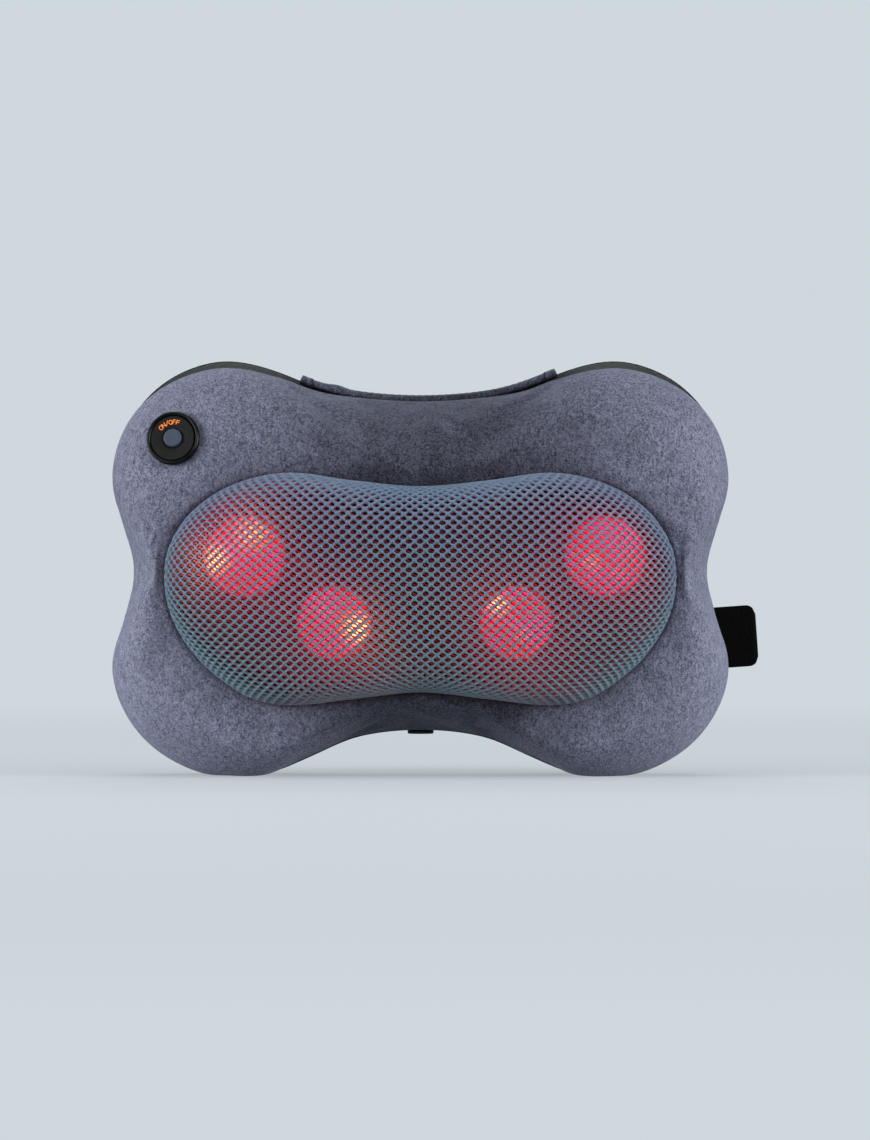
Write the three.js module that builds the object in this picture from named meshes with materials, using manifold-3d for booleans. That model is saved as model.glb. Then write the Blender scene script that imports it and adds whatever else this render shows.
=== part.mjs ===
// A butterfly-shaped shiatsu neck massager: a padded pillow round a geared massage mechanism.
// Millimetres, +Z up. The pillow stands on its two lower lobes, its massage face looks along -Y.
//
// Every piece is laid out from three references:
//   x      sideways, 0 at the middle of the pillow
//   depth  forwards from the rear face of the back panel, so y = -depth
//   z      upwards, 0 at the surface that the pillow stands on
// The last lines shift the group so that its origin is at the bottom centre of its box.

import * as THREE from "three";
import { mergeVertices } from "three/addons/utils/BufferGeometryUtils.js";
import Module from "manifold-3d";

const wasm = await Module();
wasm.setup();

// ---- driving dimensions ----

const GAP = 0.3; // between pieces that touch
const BODY_Z = 110.2; // height of the middle of the pillow, whose lobes rest flattened on z = 0
const POLE = { x: 0, z: BODY_Z - 10.5 }; // middle of the mesh window, which all outlines go round
const RING_STEPS = 64; // facets round a soft outline

// Right half of the rear outline from the top down: x, z from the body's middle, and how far
// the front cover's edge lies inside it.
const OUTLINE = [
  [0, 89.6, 0],
  [38, 92.6, 0.6],
  [58, 98, 3.4],
  [78, 106.4, 5.4],
  [106, 112, 5.8],
  [136, 101.6, 3.6],
  [156, 80, 0.8],
  [164.6, 49, 0],
  [158.2, 22, 0],
  [152.3, 0, 0],
  [157, -23, 0],
  [164.6, -54, 0],
  [152.7, -84, 0],
  [130.5, -102.8, 0],
  [94.5, -113.2, 0.6],
  [62, -101.8, 1.9],
  [35, -90.2, 1.2],
  [0, -86.1, 0.3],
];

// Right half of the mesh window's outline, in the same way.
const WINDOW = [
  [0, 43.3],
  [36, 46.5],
  [70, 50.6],
  [98, 44.6],
  [119, 31.5],
  [131, 15],
  [134.8, 0],
  [131.5, -24],
  [118.5, -45.5],
  [103, -59.5],
  [88, -68.3],
  [70, -71.6],
  [36, -68.3],
  [0, -64.7],
];

// Soft goods
const PANEL_DEPTH = 2; // back panel's thickness
const PIPING = 1.5; // radius of the cord piping round the back panel
const BAND = { rear: 3.8, bend: 19, front: 33, cloth: 2 }; // side band
const COVER = { seam: BAND.front + GAP, lip: 76, cloth: 6, roundness: 2.3 };
const MESH = { rise: 34, cloth: 2.5, dip: 0.2, dipWidth: 36 };

// Massage mechanism
const MECH = { x: 2.5, z: BODY_Z - 11 }; // middle of the mechanism
const ROTOR_X = 71.5; // from the middle to each output shaft
const HOUSING = { radius: 58, wall: 2.5, rear: 5, seam: 45 };
const WORM = { module: 1.5, teeth: 32, pitchRadius: 6.5, length: 22, depth: 27 };
const WHEEL_RADIUS = (WORM.module * WORM.teeth) / 2;
const DRIVE_Z = MECH.z + WHEEL_RADIUS + WORM.pitchRadius; // height of the motor's axis
const WHEEL_WIDTH = 10;
const TOOTH = { addendum: 0.9, dedendum: 1.25, tip: 0.1, root: 0.33 }; // in modules and pitches
const CRADLE_X = 15; // from the middle to each cradle that holds the motor
const BEARING_X = 91; // from the middle to each bearing of the motor shaft
const SHAFT_END = 93.5; // from the middle to each end of the motor shaft
const MOTOR = { radius: 17, length: 50, shaft: 1.6 };
const SHAFT = { radius: 4, rear: 8.5, front: 66 };
const BUSH = { bore: SHAFT.radius + GAP, radius: 6.3 };
const ARM = { reach: 29.3, tilt: 37, width: 24, rear: 51.8, front: 58 };
const HEAD_TALL = { radius: 22, top: 96.3, foot: 15 };
const HEAD_SHORT = { radius: 20, top: 93, foot: 14 };
const HEAD_WALL = 2.5;

// Controls, straps and closures
const LEAD_RADIUS = 1.5; // of the electric leads inside
const LEAD_HOLE = 2.4; // radius of the holes that they pass through
const BUTTON = { x: -130.2, z: BODY_Z + 68.8, depth: 68.6, turn: 13, lean: 10, bezel: 14.3 };
const HANDLE = { x: 4.3, length: 137, thickness: 3.2, width: 24, rear: 7 };
const HANDLE_LIFT = 0.9; // gap under the handle, which lies flat on the side band
const STRAP = { z: BODY_Z - 38, width: 33, thickness: 1.6, hinge: 150, tilt: 5 };
const ZIP = { z: BODY_Z + 44, length: 200, slot: 9 };
const JACK = { depth: 14, flange: 7, barrel: 5, bore: 3.2, pin: 1.05 };

// ---- materials ----

const finish = (color, roughness, metalness = 0) =>
  new THREE.MeshStandardMaterial({ color, roughness, metalness });

const plush = finish(0x6b6c85, 0.95);
const airMesh = finish(0x93a1ab, 0.8);
const greyKnit = finish(0x3c4043, 0.9);
const foam = finish(0xd8d6cc, 0.95);
const webbing = finish(0x08080a, 0.85);
const blackPlastic = finish(0x17181a, 0.45);
const glossBlack = finish(0x0b0b0d, 0.2);
const slatePlastic = finish(0x475c6b, 0.4);
const whiteNylon = finish(0xe6e2d4, 0.5);
const redLens = finish(0xd01030, 0.25);
const steel = finish(0xb4b7bb, 0.3, 1);
const bronze = finish(0x9a7440, 0.4, 1);
const circuitBoard = finish(0x1f5a34, 0.5);

// ---- geometry helpers ----

// The same geometry with its faces turned outwards.
function facingOut(geometry) {
  const p = geometry.attributes.position;
  const index = geometry.index.array;
  const [a, b, c] = [new THREE.Vector3(), new THREE.Vector3(), new THREE.Vector3()];
  let volume = 0;
  for (let i = 0; i < index.length; i += 3) {
    a.fromBufferAttribute(p, index[i]);
    b.fromBufferAttribute(p, index[i + 1]);
    c.fromBufferAttribute(p, index[i + 2]);
    volume += a.dot(b.cross(c));
  }
  if (volume > 0) return geometry;
  for (let i = 0; i < index.length; i += 3) {
    [index[i + 1], index[i + 2]] = [index[i + 2], index[i + 1]];
  }
  return geometry;
}

function toSolid(geometry) {
  const bare = new THREE.BufferGeometry();
  bare.setAttribute("position", geometry.attributes.position.clone());
  if (geometry.index) bare.setIndex(geometry.index.clone());
  const merged = facingOut(mergeVertices(bare, 1e-3));
  return new wasm.Manifold(
    new wasm.Mesh({
      numProp: 3,
      vertProperties: merged.attributes.position.array,
      triVerts: new Uint32Array(merged.index.array),
    }),
  );
}

function toGeometry(solid) {
  const mesh = solid.getMesh();
  const geometry = new THREE.BufferGeometry();
  const position = new THREE.BufferAttribute(new Float32Array(mesh.vertProperties), 3);
  geometry.setAttribute("position", position);
  geometry.setIndex(new THREE.BufferAttribute(new Uint32Array(mesh.triVerts), 1));
  return geometry;
}

const cut = (body, ...tools) =>
  toGeometry(tools.reduce((solid, tool) => solid.subtract(toSolid(tool)), toSolid(body)));

const join = (body, ...others) =>
  toGeometry(others.reduce((solid, other) => solid.add(toSolid(other)), toSolid(body)));

// A solid of revolution about a line along the depth direction. The profile holds
// [radius, depth] pairs, and starts and ends on the axis or closes on itself.
function turned(profile, segments = 24) {
  const points = profile.map(([radius, depth]) => new THREE.Vector2(radius, -depth));
  const merged = mergeVertices(stripped(new THREE.LatheGeometry(points, segments)), 1e-3);
  return facingOut(merged);
}

function stripped(geometry) {
  geometry.deleteAttribute("normal");
  geometry.deleteAttribute("uv");
  return geometry;
}

// A disc or rod along the depth direction, and a ring.
const disc = (radius, rear, front, segments = 24) =>
  turned([[0, rear], [radius, rear], [radius, front], [0, front]], segments);

const washer = (bore, radius, rear, front, segments = 24) =>
  turned([[bore, rear], [radius, rear], [radius, front], [bore, front], [bore, rear]], segments);

// A flat shape in x and z, thickened from one depth to another.
function plate(shape, rear, front, curveSegments = 16) {
  const geometry = new THREE.ExtrudeGeometry(shape, {
    depth: front - rear,
    bevelEnabled: false,
    curveSegments,
  });
  return geometry.rotateX(Math.PI / 2).translate(0, -rear, 0);
}

// A block between two corners, given as x, depth and z.
function block([x0, d0, z0], [x1, d1, z1]) {
  const box = new THREE.BoxGeometry(x1 - x0, d1 - d0, z1 - z0);
  return box.translate((x0 + x1) / 2, -(d0 + d1) / 2, (z0 + z1) / 2);
}

// A rod along x.
function crossRod(radius, x0, x1, depth, z, segments = 16) {
  const rod = new THREE.CylinderGeometry(radius, radius, x1 - x0, segments);
  return rod.rotateZ(Math.PI / 2).translate((x0 + x1) / 2, -depth, z);
}

// A lead along hand-laid points, each x, depth, z.
function lead(points, radius, steps) {
  const path = new THREE.CatmullRomCurve3(
    points.map(([x, depth, z]) => new THREE.Vector3(x, -depth, z)),
  );
  const section = new THREE.Shape().absarc(0, 0, radius, 0, 2 * Math.PI);
  return new THREE.ExtrudeGeometry(section, {
    steps,
    extrudePath: path,
    curveSegments: 4,
  });
}

// A rod that stands upright on the line of the power inlet.
function jackRod(radius, z0, z1) {
  const rod = new THREE.CylinderGeometry(radius, radius, z1 - z0, 16);
  return rod.rotateX(Math.PI / 2).translate(0, -JACK.depth, (z0 + z1) / 2);
}

// ---- outlines as radii round the pole ----

// How far a closed line of points lies from the pole, as a function of the angle.
function polarRadius(points) {
  const samples = points
    .map(({ x, y }) => ({
      angle: Math.atan2(y - POLE.z, x - POLE.x),
      radius: Math.hypot(x - POLE.x, y - POLE.z),
    }))
    .sort((a, b) => a.angle - b.angle);
  const first = samples[0];
  const last = samples[samples.length - 1];
  samples.unshift({ angle: last.angle - 2 * Math.PI, radius: last.radius });
  samples.push({ angle: first.angle + 2 * Math.PI, radius: first.radius });
  return (angle) => {
    const wrapped = Math.atan2(Math.sin(angle), Math.cos(angle));
    const next = samples.findIndex((s) => s.angle >= wrapped);
    const [a, b] = [samples[Math.max(0, next - 1)], samples[Math.max(1, next)]];
    const share = (wrapped - a.angle) / (b.angle - a.angle || 1);
    return a.radius + (b.radius - a.radius) * share;
  };
}

// A smooth closed line through the points of a right half and their mirror images.
function mirroredSpline(half) {
  const left = half.slice(1, -1).reverse().map(([x, z]) => [-x, z]);
  const points = [...half, ...left].map(([x, z]) => new THREE.Vector3(x, BODY_Z + z, 0));
  return new THREE.CatmullRomCurve3(points, true).getPoints(720);
}

// How far the surface that the pillow stands on lies from the pole at an angle.
const floorRadius = (angle) => POLE.z / Math.max(-Math.sin(angle), 0.01);

const looseRadius = polarRadius(mirroredSpline(OUTLINE));
const rearRadius = (angle) => Math.min(looseRadius(angle), floorRadius(angle));
const coverRadius = polarRadius(
  mirroredSpline(
    OUTLINE.map(([x, z, inset]) => {
      const length = Math.hypot(x, z + BODY_Z - POLE.z);
      const share = (length - inset) / length;
      return [x * share, (z + BODY_Z - POLE.z) * share + POLE.z - BODY_Z];
    }),
  ),
);
const windowRadius = polarRadius(mirroredSpline(WINDOW));

// A stadium round both output shafts.
function stadium(radius) {
  const shape = new THREE.Shape();
  shape.absarc(MECH.x + ROTOR_X, MECH.z, radius, -Math.PI / 2, Math.PI / 2);
  shape.absarc(MECH.x - ROTOR_X, MECH.z, radius, Math.PI / 2, 1.5 * Math.PI);
  shape.closePath();
  return shape;
}

const housingRadius = polarRadius(stadium(HOUSING.radius).getSpacedPoints(360));

// A point at an angle round the pole.
function around(angle, radius, depth) {
  return new THREE.Vector3(
    POLE.x + radius * Math.cos(angle),
    -depth,
    POLE.z + radius * Math.sin(angle),
  );
}

// ---- soft solids skinned over sections ----

// A solid whose cross-section at each angle round the pole is section(angle), a list of
// points. An open section starts and ends on the pole line; a closed one makes a ring.
function skinned(section, closed) {
  const rows = [];
  for (let i = 0; i < RING_STEPS; i += 1) rows.push(section((2 * Math.PI * i) / RING_STEPS));
  const count = rows[0].length;
  const positions = rows.flatMap((row) => row.flatMap((p) => [p.x, p.y, p.z]));
  const index = [];
  for (let i = 0; i < RING_STEPS; i += 1) {
    const next = (i + 1) % RING_STEPS;
    for (let k = 0; k < (closed ? count : count - 1); k += 1) {
      const up = (k + 1) % count;
      const [a, b] = [i * count + k, i * count + up];
      const [c, d] = [next * count + k, next * count + up];
      index.push(a, b, c, c, b, d);
    }
  }
  const geometry = new THREE.BufferGeometry();
  geometry.setAttribute("position", new THREE.Float32BufferAttribute(positions, 3));
  geometry.setIndex(index);
  return facingOut(mergeVertices(geometry, 1e-3));
}

// The front cover's curve from its seam to the mesh window, inset by some thickness, as
// radii and depths at equal shares of a quarter turn.
function coverCurve(angle, inset) {
  const power = 2 / COVER.roundness;
  const inner = windowRadius(angle);
  return [0, 0.25, 0.5, 0.75, 1].map((share) => {
    const out = Math.max(0, Math.cos((share * Math.PI) / 2)) ** power;
    const up = Math.sin((share * Math.PI) / 2) ** power;
    const radius = inner + (coverRadius(angle) - inset - inner) * out;
    const depth = COVER.seam + (COVER.lip - inset - COVER.seam) * up;
    return { radius: Math.min(radius, floorRadius(angle) - inset), depth };
  });
}

function frontCover() {
  const section = (angle) => {
    const outer = coverCurve(angle, 0);
    const inner = coverCurve(angle, COVER.cloth).reverse();
    return [...outer, ...inner].map((p) => around(angle, p.radius, p.depth));
  };
  const seat = atButton(disc(BUTTON.bezel + GAP, -0.6 - GAP, 30, 24));
  return cut(skinned(section, true), buttonPocket(10.8), seat);
}

// Ends a curve short of the window, where it meets a given radius.
function stopAtRadius(curve, radius) {
  const [before, last] = curve.slice(-2);
  const share = (before.radius - radius) / (before.radius - last.radius);
  const depth = before.depth + (last.depth - before.depth) * share;
  return [...curve.slice(0, -1), { radius, depth }];
}

function foamRing() {
  const section = (angle) => {
    const inside = Math.max(housingRadius(angle), windowRadius(angle)) + 1.5;
    const back = rearRadius(angle) - 2 * BAND.cloth;
    const top = stopAtRadius(coverCurve(angle, COVER.cloth + 1.5), inside);
    return [
      around(angle, inside, HOUSING.rear),
      around(angle, back, HOUSING.rear),
      around(angle, back, BAND.bend),
      ...top.map((p) => around(angle, p.radius, p.depth)),
    ];
  };
  return cut(
    skinned(section, true),
    buttonPocket(15.5),
    lead(BUTTON_LEAD, 2.6, 14),
    jackRod(6, 24, 48),
  );
}

function sideBand() {
  const section = (angle) => {
    const rear = rearRadius(angle);
    const front = Math.min(coverRadius(angle), floorRadius(angle));
    return [
      around(angle, rear, BAND.rear),
      around(angle, rear, BAND.bend),
      around(angle, front, BAND.front),
      around(angle, front - BAND.cloth, BAND.front),
      around(angle, rear - BAND.cloth, BAND.bend),
      around(angle, rear - BAND.cloth, BAND.rear),
    ];
  };
  return cut(skinned(section, true), jackRod(JACK.barrel + 2 * GAP, 20, 32));
}

function rearPiping() {
  const sides = 6;
  const section = (angle) => {
    const middle = rearRadius(angle) - PIPING;
    const points = [];
    for (let i = 0; i < sides; i += 1) {
      const turn = (2 * Math.PI * i) / sides;
      const radius = middle + PIPING * Math.cos(turn);
      points.push(around(angle, radius, PANEL_DEPTH + PIPING * Math.sin(turn)));
    }
    return points;
  };
  return skinned(section, true);
}

function backPanel() {
  const shares = [0, 0.55, 0.8, 1];
  const section = (angle) => {
    const edge = rearRadius(angle) - 2 * PIPING - GAP;
    const rear = shares.map((share) => around(angle, edge * share, 0));
    const front = shares.map((share) => around(angle, edge * share, PANEL_DEPTH)).reverse();
    return [...rear, ...front];
  };
  const half = ZIP.length / 2 + 3;
  const slot = block(
    [-half, -1, ZIP.z - ZIP.slot / 2],
    [half, PANEL_DEPTH + 1, ZIP.z + ZIP.slot / 2],
  );
  return cut(skinned(section, false), slot);
}

// Depth of the mesh window's outer face at a share of the way from the pole to its edge.
function meshDepth(angle, share, x) {
  const dip = 1 - MESH.dip * Math.exp(-(((x - MECH.x) / MESH.dipWidth) ** 2));
  return COVER.lip + MESH.rise * dip * Math.sqrt(1 - share ** 4);
}

function meshPanel() {
  const shares = [0, 0.4, 0.65, 0.82, 0.93, 1];
  const section = (angle) => {
    const edge = windowRadius(angle) - GAP;
    const skin = (radius, inset) => (share) => {
      const r = radius * share;
      const depth = meshDepth(angle, share, POLE.x + r * Math.cos(angle));
      return around(angle, r, depth - inset);
    };
    const outer = shares.map(skin(edge, 0));
    const inner = shares.map(skin(edge - MESH.cloth, MESH.cloth)).reverse();
    return [...outer, ...inner];
  };
  return skinned(section, false);
}

// ---- carry handle, strap and zip on the back ----

// A band that follows the top hollow, from one x to another, raised above the side band.
function topBand(x0, x1, lift, thickness, rear, front, steps) {
  const heightAt = (x) => {
    const angle = Math.atan2(90, x);
    let radius = rearRadius(angle);
    let turn = angle;
    for (let i = 0; i < 12; i += 1) {
      turn = Math.acos(THREE.MathUtils.clamp((x - POLE.x) / radius, -1, 1));
      radius = rearRadius(turn);
    }
    return POLE.z + radius * Math.sin(turn);
  };
  const shape = new THREE.Shape();
  const xs = Array.from({ length: steps + 1 }, (_, i) => x0 + ((x1 - x0) * i) / steps);
  xs.forEach((x, i) => {
    const z = heightAt(x) + lift;
    if (i) shape.lineTo(x, z);
    else shape.moveTo(x, z);
  });
  [...xs].reverse().forEach((x) => shape.lineTo(x, heightAt(x) + lift + thickness));
  shape.closePath();
  return plate(shape, rear, front);
}

function topHandle() {
  const half = HANDLE.length / 2;
  const { x, rear, width, thickness } = HANDLE;
  return topBand(x - half, x + half, HANDLE_LIFT, thickness, rear, rear + width, 18);
}

// The stitched tab over one end of the handle.
function handleTab(side) {
  const middle = HANDLE.x + side * (HANDLE.length / 2 - 5);
  const lift = HANDLE_LIFT + HANDLE.thickness + GAP;
  const { rear, width } = HANDLE;
  return topBand(middle - 3.5, middle + 3.5, lift, 1.4, rear - 1, rear + width + 1, 2);
}

// A strap across the back: its outline seen from above, thickened to the strap's width.
function strapBand(line) {
  const shape = new THREE.Shape(line.map(([x, depth]) => new THREE.Vector2(x, -depth)));
  const z0 = STRAP.z - STRAP.width / 2;
  const geometry = new THREE.ExtrudeGeometry(shape, {
    depth: STRAP.width,
    bevelEnabled: false,
  });
  return geometry.translate(0, 0, z0);
}

function strapShort() {
  const t = STRAP.thickness;
  return strapBand([[58, -GAP], [146, -GAP], [146, -GAP - t], [58, -GAP - t]]);
}

function strapLong() {
  const t = STRAP.thickness;
  const step = t + GAP;
  const end = STRAP.hinge - 2;
  return strapBand([
    [-150, -GAP],
    [46, -GAP],
    [56, -GAP - step],
    [end, -GAP - step],
    [end, -GAP - step - t],
    [55, -GAP - step - t],
    [45, -GAP - t],
    [-150, -GAP - t],
  ]);
}

function strapTab() {
  const half = STRAP.width / 2;
  const length = 31;
  const corner = 5;
  const shape = new THREE.Shape();
  shape.moveTo(0, -half);
  shape.lineTo(length - corner, -half);
  shape.quadraticCurveTo(length, -half, length, corner - half);
  shape.lineTo(length, half - corner);
  shape.quadraticCurveTo(length, half, length - corner, half);
  shape.lineTo(0, half);
  shape.closePath();
  const thickness = 2.2;
  const rear = -(2 * GAP + 2 * STRAP.thickness);
  return plate(shape, rear, rear + thickness, 5)
    .rotateY(THREE.MathUtils.degToRad(-STRAP.tilt))
    .translate(STRAP.hinge, 0, STRAP.z);
}

function zipTape(side) {
  const half = ZIP.length / 2 + 8;
  const [near, far] = [ZIP.z + side * 1.9, ZIP.z + side * 13];
  const z0 = Math.min(near, far);
  const z1 = Math.max(near, far);
  return block([-half, PANEL_DEPTH + GAP, z0], [half, PANEL_DEPTH + 1.1, z1]);
}

function zipTeeth() {
  const half = ZIP.length / 2;
  return block([-half, 0.4, ZIP.z - 1.6], [half, 3.2, ZIP.z + 1.6]);
}

const SLIDER_X = 94; // middle of the closed zip's slider

function zipSlider() {
  const shape = new THREE.Shape();
  shape.moveTo(-5, -3.2);
  shape.lineTo(3, -4.2);
  shape.lineTo(5, -2.4);
  shape.lineTo(5, 2.4);
  shape.lineTo(3, 4.2);
  shape.lineTo(-5, 3.2);
  shape.closePath();
  const base = plate(shape, -1.6, 0.1).translate(SLIDER_X, 0, ZIP.z);
  const bridge = block([SLIDER_X - 4, -4.6, ZIP.z - 1.1], [SLIDER_X + 4, -1.5, ZIP.z + 1.1]);
  const eye = block([SLIDER_X - 2.6, -3.6, ZIP.z - 2], [SLIDER_X + 2.6, -1.6, ZIP.z + 2]);
  return join(base, cut(bridge, eye));
}

const PULL_PIN = 0.6; // half the thickness of the pull's bar, which turns in the slider's eye

function zipPull() {
  const shape = new THREE.Shape();
  shape.moveTo(-PULL_PIN, -3.4);
  shape.lineTo(-22, -3.4);
  shape.quadraticCurveTo(-25, -3.4, -25, 0);
  shape.quadraticCurveTo(-25, 3.4, -22, 3.4);
  shape.lineTo(PULL_PIN, 3.4);
  shape.lineTo(PULL_PIN, -3.4);
  shape.closePath();
  const window = new THREE.Path();
  window.moveTo(-PULL_PIN, -2);
  window.lineTo(-PULL_PIN, 2);
  window.lineTo(-8, 2);
  window.lineTo(-8, -2);
  window.closePath();
  shape.holes.push(window);
  return plate(shape, -3.2, -2, 5).translate(SLIDER_X, 0, ZIP.z);
}

// ---- massage mechanism ----

function baseShell() {
  const { radius, wall, rear, seam } = HOUSING;
  const floor = rear + wall;
  const shell = cut(
    plate(stadium(radius), rear, seam - GAP, 14),
    plate(stadium(radius - wall), floor, seam + 1, 14),
  );
  const sides = [-1, 1];
  const seat = () => disc(BUSH.radius + GAP, floor, 17, 16);
  const bosses = sides.map((side) => disc(9, floor - 1, 16, 16).translate(...rotorAxis(side)));
  const seats = sides.map((side) => seat().translate(...rotorAxis(side)));
  const posts = SCREWS.map(([x, z]) => disc(4, floor - 1, 40, 10).translate(x, 0, z));
  const pilots = SCREWS.map(([x, z]) => disc(1.6, 24, 41, 8).translate(x, 0, z));
  const cradles = sides.map((side) =>
    block(
      [MECH.x + side * CRADLE_X - 2, floor - 1, DRIVE_Z - 12],
      [MECH.x + side * CRADLE_X + 2, WORM.depth - 6, DRIVE_Z + 12],
    ),
  );
  const bearings = sides.map((side) =>
    block(
      [MECH.x + side * BEARING_X - 3, floor - 1, DRIVE_Z - 7],
      [MECH.x + side * BEARING_X + 3, WORM.depth + 7, DRIVE_Z + 7],
    ),
  );
  const bed = crossRod(MOTOR.radius + GAP, MECH.x - 30, MECH.x + 30, WORM.depth, DRIVE_Z, 32);
  const line = crossRod(4.8, MECH.x - 95, MECH.x + 95, WORM.depth, DRIVE_Z);
  return cut(
    join(shell, ...bosses, ...posts, ...cradles, ...bearings),
    ...seats,
    ...pilots,
    bed,
    line,
    jackRod(LEAD_HOLE, 40, 50),
    lead(BUTTON_LEAD, LEAD_HOLE, 14),
  );
}

function topShell() {
  const { radius, seam } = HOUSING;
  const sides = [-1, 1];
  const boss = () => disc(9.5, 41, 49.3, 16);
  const seat = () => disc(BUSH.radius + GAP, 40, 50, 16);
  const bosses = sides.map((side) => boss().translate(...rotorAxis(side)));
  const seats = sides.map((side) => seat().translate(...rotorAxis(side)));
  const holes = SCREWS.map(([x, z]) => disc(1.9, 40, 50, 8).translate(x, 0, z));
  return cut(
    join(plate(stadium(radius), seam, seam + 2.5, 14), ...bosses),
    ...seats,
    ...holes,
  );
}

function rotorAxis(side) {
  return [MECH.x + side * ROTOR_X, 0, MECH.z];
}

// Housing screws at the four corners of the shells.
const SCREWS = [
  [MECH.x - 108, MECH.z - 32],
  [MECH.x + 108, MECH.z - 32],
  [MECH.x - 40, MECH.z + 49.5],
  [MECH.x + 40, MECH.z + 49.5],
];

function housingScrew([x, z]) {
  const profile = [
    [0, 26],
    [1.3, 27],
    [1.3, 47.8],
    [3.2, 47.8],
    [2.8, 49.6],
    [0, 49.6],
  ];
  return turned(profile, 10).translate(x, 0, z);
}

function motorCan() {
  const { radius, length } = MOTOR;
  const half = length / 2;
  const can = crossRod(radius, MECH.x - half, MECH.x + half - 6, WORM.depth, DRIVE_Z, 28);
  const nose = crossRod(6, MECH.x - half - 3, MECH.x - half + 1, WORM.depth, DRIVE_Z);
  const bore = crossRod(MOTOR.shaft + GAP, MECH.x - 40, MECH.x + 40, WORM.depth, DRIVE_Z, 10);
  return cut(join(can, nose), bore);
}

function motorEndCap() {
  const { radius, length } = MOTOR;
  const x0 = MECH.x + length / 2 - 6 + GAP;
  const cap = crossRod(radius - 0.4, x0, x0 + 5.5, WORM.depth, DRIVE_Z, 28);
  const nose = crossRod(5.5, x0 + 5, x0 + 9, WORM.depth, DRIVE_Z);
  const bore = crossRod(MOTOR.shaft + GAP, x0 - 5, x0 + 20, WORM.depth, DRIVE_Z, 10);
  return cut(join(cap, nose), bore);
}

const motorShaft = () =>
  crossRod(MOTOR.shaft, MECH.x - SHAFT_END, MECH.x + SHAFT_END, WORM.depth, DRIVE_Z, 8);

function shaftBush(side) {
  const middle = MECH.x + side * BEARING_X;
  const outer = crossRod(4.4, middle - 3.5, middle + 3.5, WORM.depth, DRIVE_Z, 12);
  const bore = crossRod(MOTOR.shaft + GAP, middle - 5, middle + 5, WORM.depth, DRIVE_Z, 12);
  return cut(outer, bore);
}

// A single-start worm: a lathe about x whose radius follows the thread. The two worms have
// opposite hands, so one motor shaft turns the two wheels opposite ways.
function worm(side) {
  const sides = 10;
  const turns = WORM.length / (Math.PI * WORM.module);
  const perTurn = 8;
  const rows = Math.round(turns * perTurn);
  const root = WORM.pitchRadius - TOOTH.dedendum * WORM.module;
  const crest = WORM.pitchRadius + TOOTH.addendum * WORM.module;
  const radii = [root, root, root, (root + crest) / 2, crest, crest, (root + crest) / 2, root];
  const profile = [new THREE.Vector2(MOTOR.shaft + GAP, 0)];
  for (let row = 0; row <= rows; row += 1) {
    profile.push(new THREE.Vector2(root, (row / rows) * WORM.length));
  }
  profile.push(new THREE.Vector2(MOTOR.shaft + GAP, WORM.length), profile[0].clone());
  const lathe = new THREE.LatheGeometry(profile, sides);
  const p = lathe.attributes.position;
  const pitch = WORM.length / turns;
  for (let i = 0; i < p.count; i += 1) {
    const radius = Math.hypot(p.getX(i), p.getZ(i));
    const angle = Math.atan2(p.getX(i), p.getZ(i));
    const y = p.getY(i);
    const inEnd = y < pitch / 4 || y > WORM.length - pitch / 4;
    if (radius > root - 0.1 && !inEnd) {
      const middle = y - WORM.length / 2;
      const phase = middle / pitch - (side * angle) / (2 * Math.PI);
      const step = (((phase + 0.5) % 1) + 1) % 1;
      const place = step * perTurn + 0.5;
      const low = Math.floor(place) % perTurn;
      const share = place - Math.floor(place);
      const high = radii[(low + 1) % perTurn];
      const threaded = radii[low] + (high - radii[low]) * share;
      p.setX(i, (p.getX(i) * threaded) / radius);
      p.setZ(i, (p.getZ(i) * threaded) / radius);
    }
  }
  const merged = facingOut(mergeVertices(stripped(lathe), 1e-3));
  return merged
    .translate(0, -WORM.length / 2, 0)
    .rotateZ(-Math.PI / 2)
    .translate(MECH.x + side * ROTOR_X, -WORM.depth, DRIVE_Z);
}

// A worm wheel with straight-sided teeth, twisted across its width to follow the worm.
function wormWheel(side) {
  const { module, teeth } = WORM;
  const tip = WHEEL_RADIUS + TOOTH.addendum * module;
  const root = WHEEL_RADIUS - TOOTH.dedendum * module;
  const pitchAngle = (2 * Math.PI) / teeth;
  const corners = [
    [root, -TOOTH.root],
    [tip, -TOOTH.tip],
    [tip, TOOTH.tip],
    [root, TOOTH.root],
  ];
  const outline = [];
  for (let i = 0; i < teeth; i += 1) {
    const middle = Math.PI / 2 + i * pitchAngle;
    corners.forEach(([radius, share]) => {
      const angle = middle + share * pitchAngle;
      outline.push(new THREE.Vector2(radius * Math.cos(angle), radius * Math.sin(angle)));
    });
  }
  const shape = new THREE.Shape(outline);
  const rear = WORM.depth - WHEEL_WIDTH / 2;
  const blank = plate(shape, rear, rear + WHEEL_WIDTH);
  const leadAngle = Math.atan(module / (2 * WORM.pitchRadius));
  const p = blank.attributes.position;
  for (let i = 0; i < p.count; i += 1) {
    const across = -p.getY(i) - WORM.depth;
    const twist = (side * across * Math.tan(leadAngle)) / WHEEL_RADIUS;
    const [x, z] = [p.getX(i), p.getZ(i)];
    p.setX(i, x * Math.cos(twist) - z * Math.sin(twist));
    p.setZ(i, x * Math.sin(twist) + z * Math.cos(twist));
  }
  const hub = disc(8, rear - 3, rear + WHEEL_WIDTH + 3, 16);
  const bore = disc(SHAFT.radius + GAP, 0, 60, 16);
  return cut(join(blank, hub), bore).translate(...rotorAxis(side));
}

const outputShaft = (side) =>
  disc(SHAFT.radius, SHAFT.rear, SHAFT.front, 16).translate(...rotorAxis(side));

const rearBush = (side) =>
  washer(BUSH.bore, BUSH.radius, 8, 15, 16).translate(...rotorAxis(side));

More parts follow.
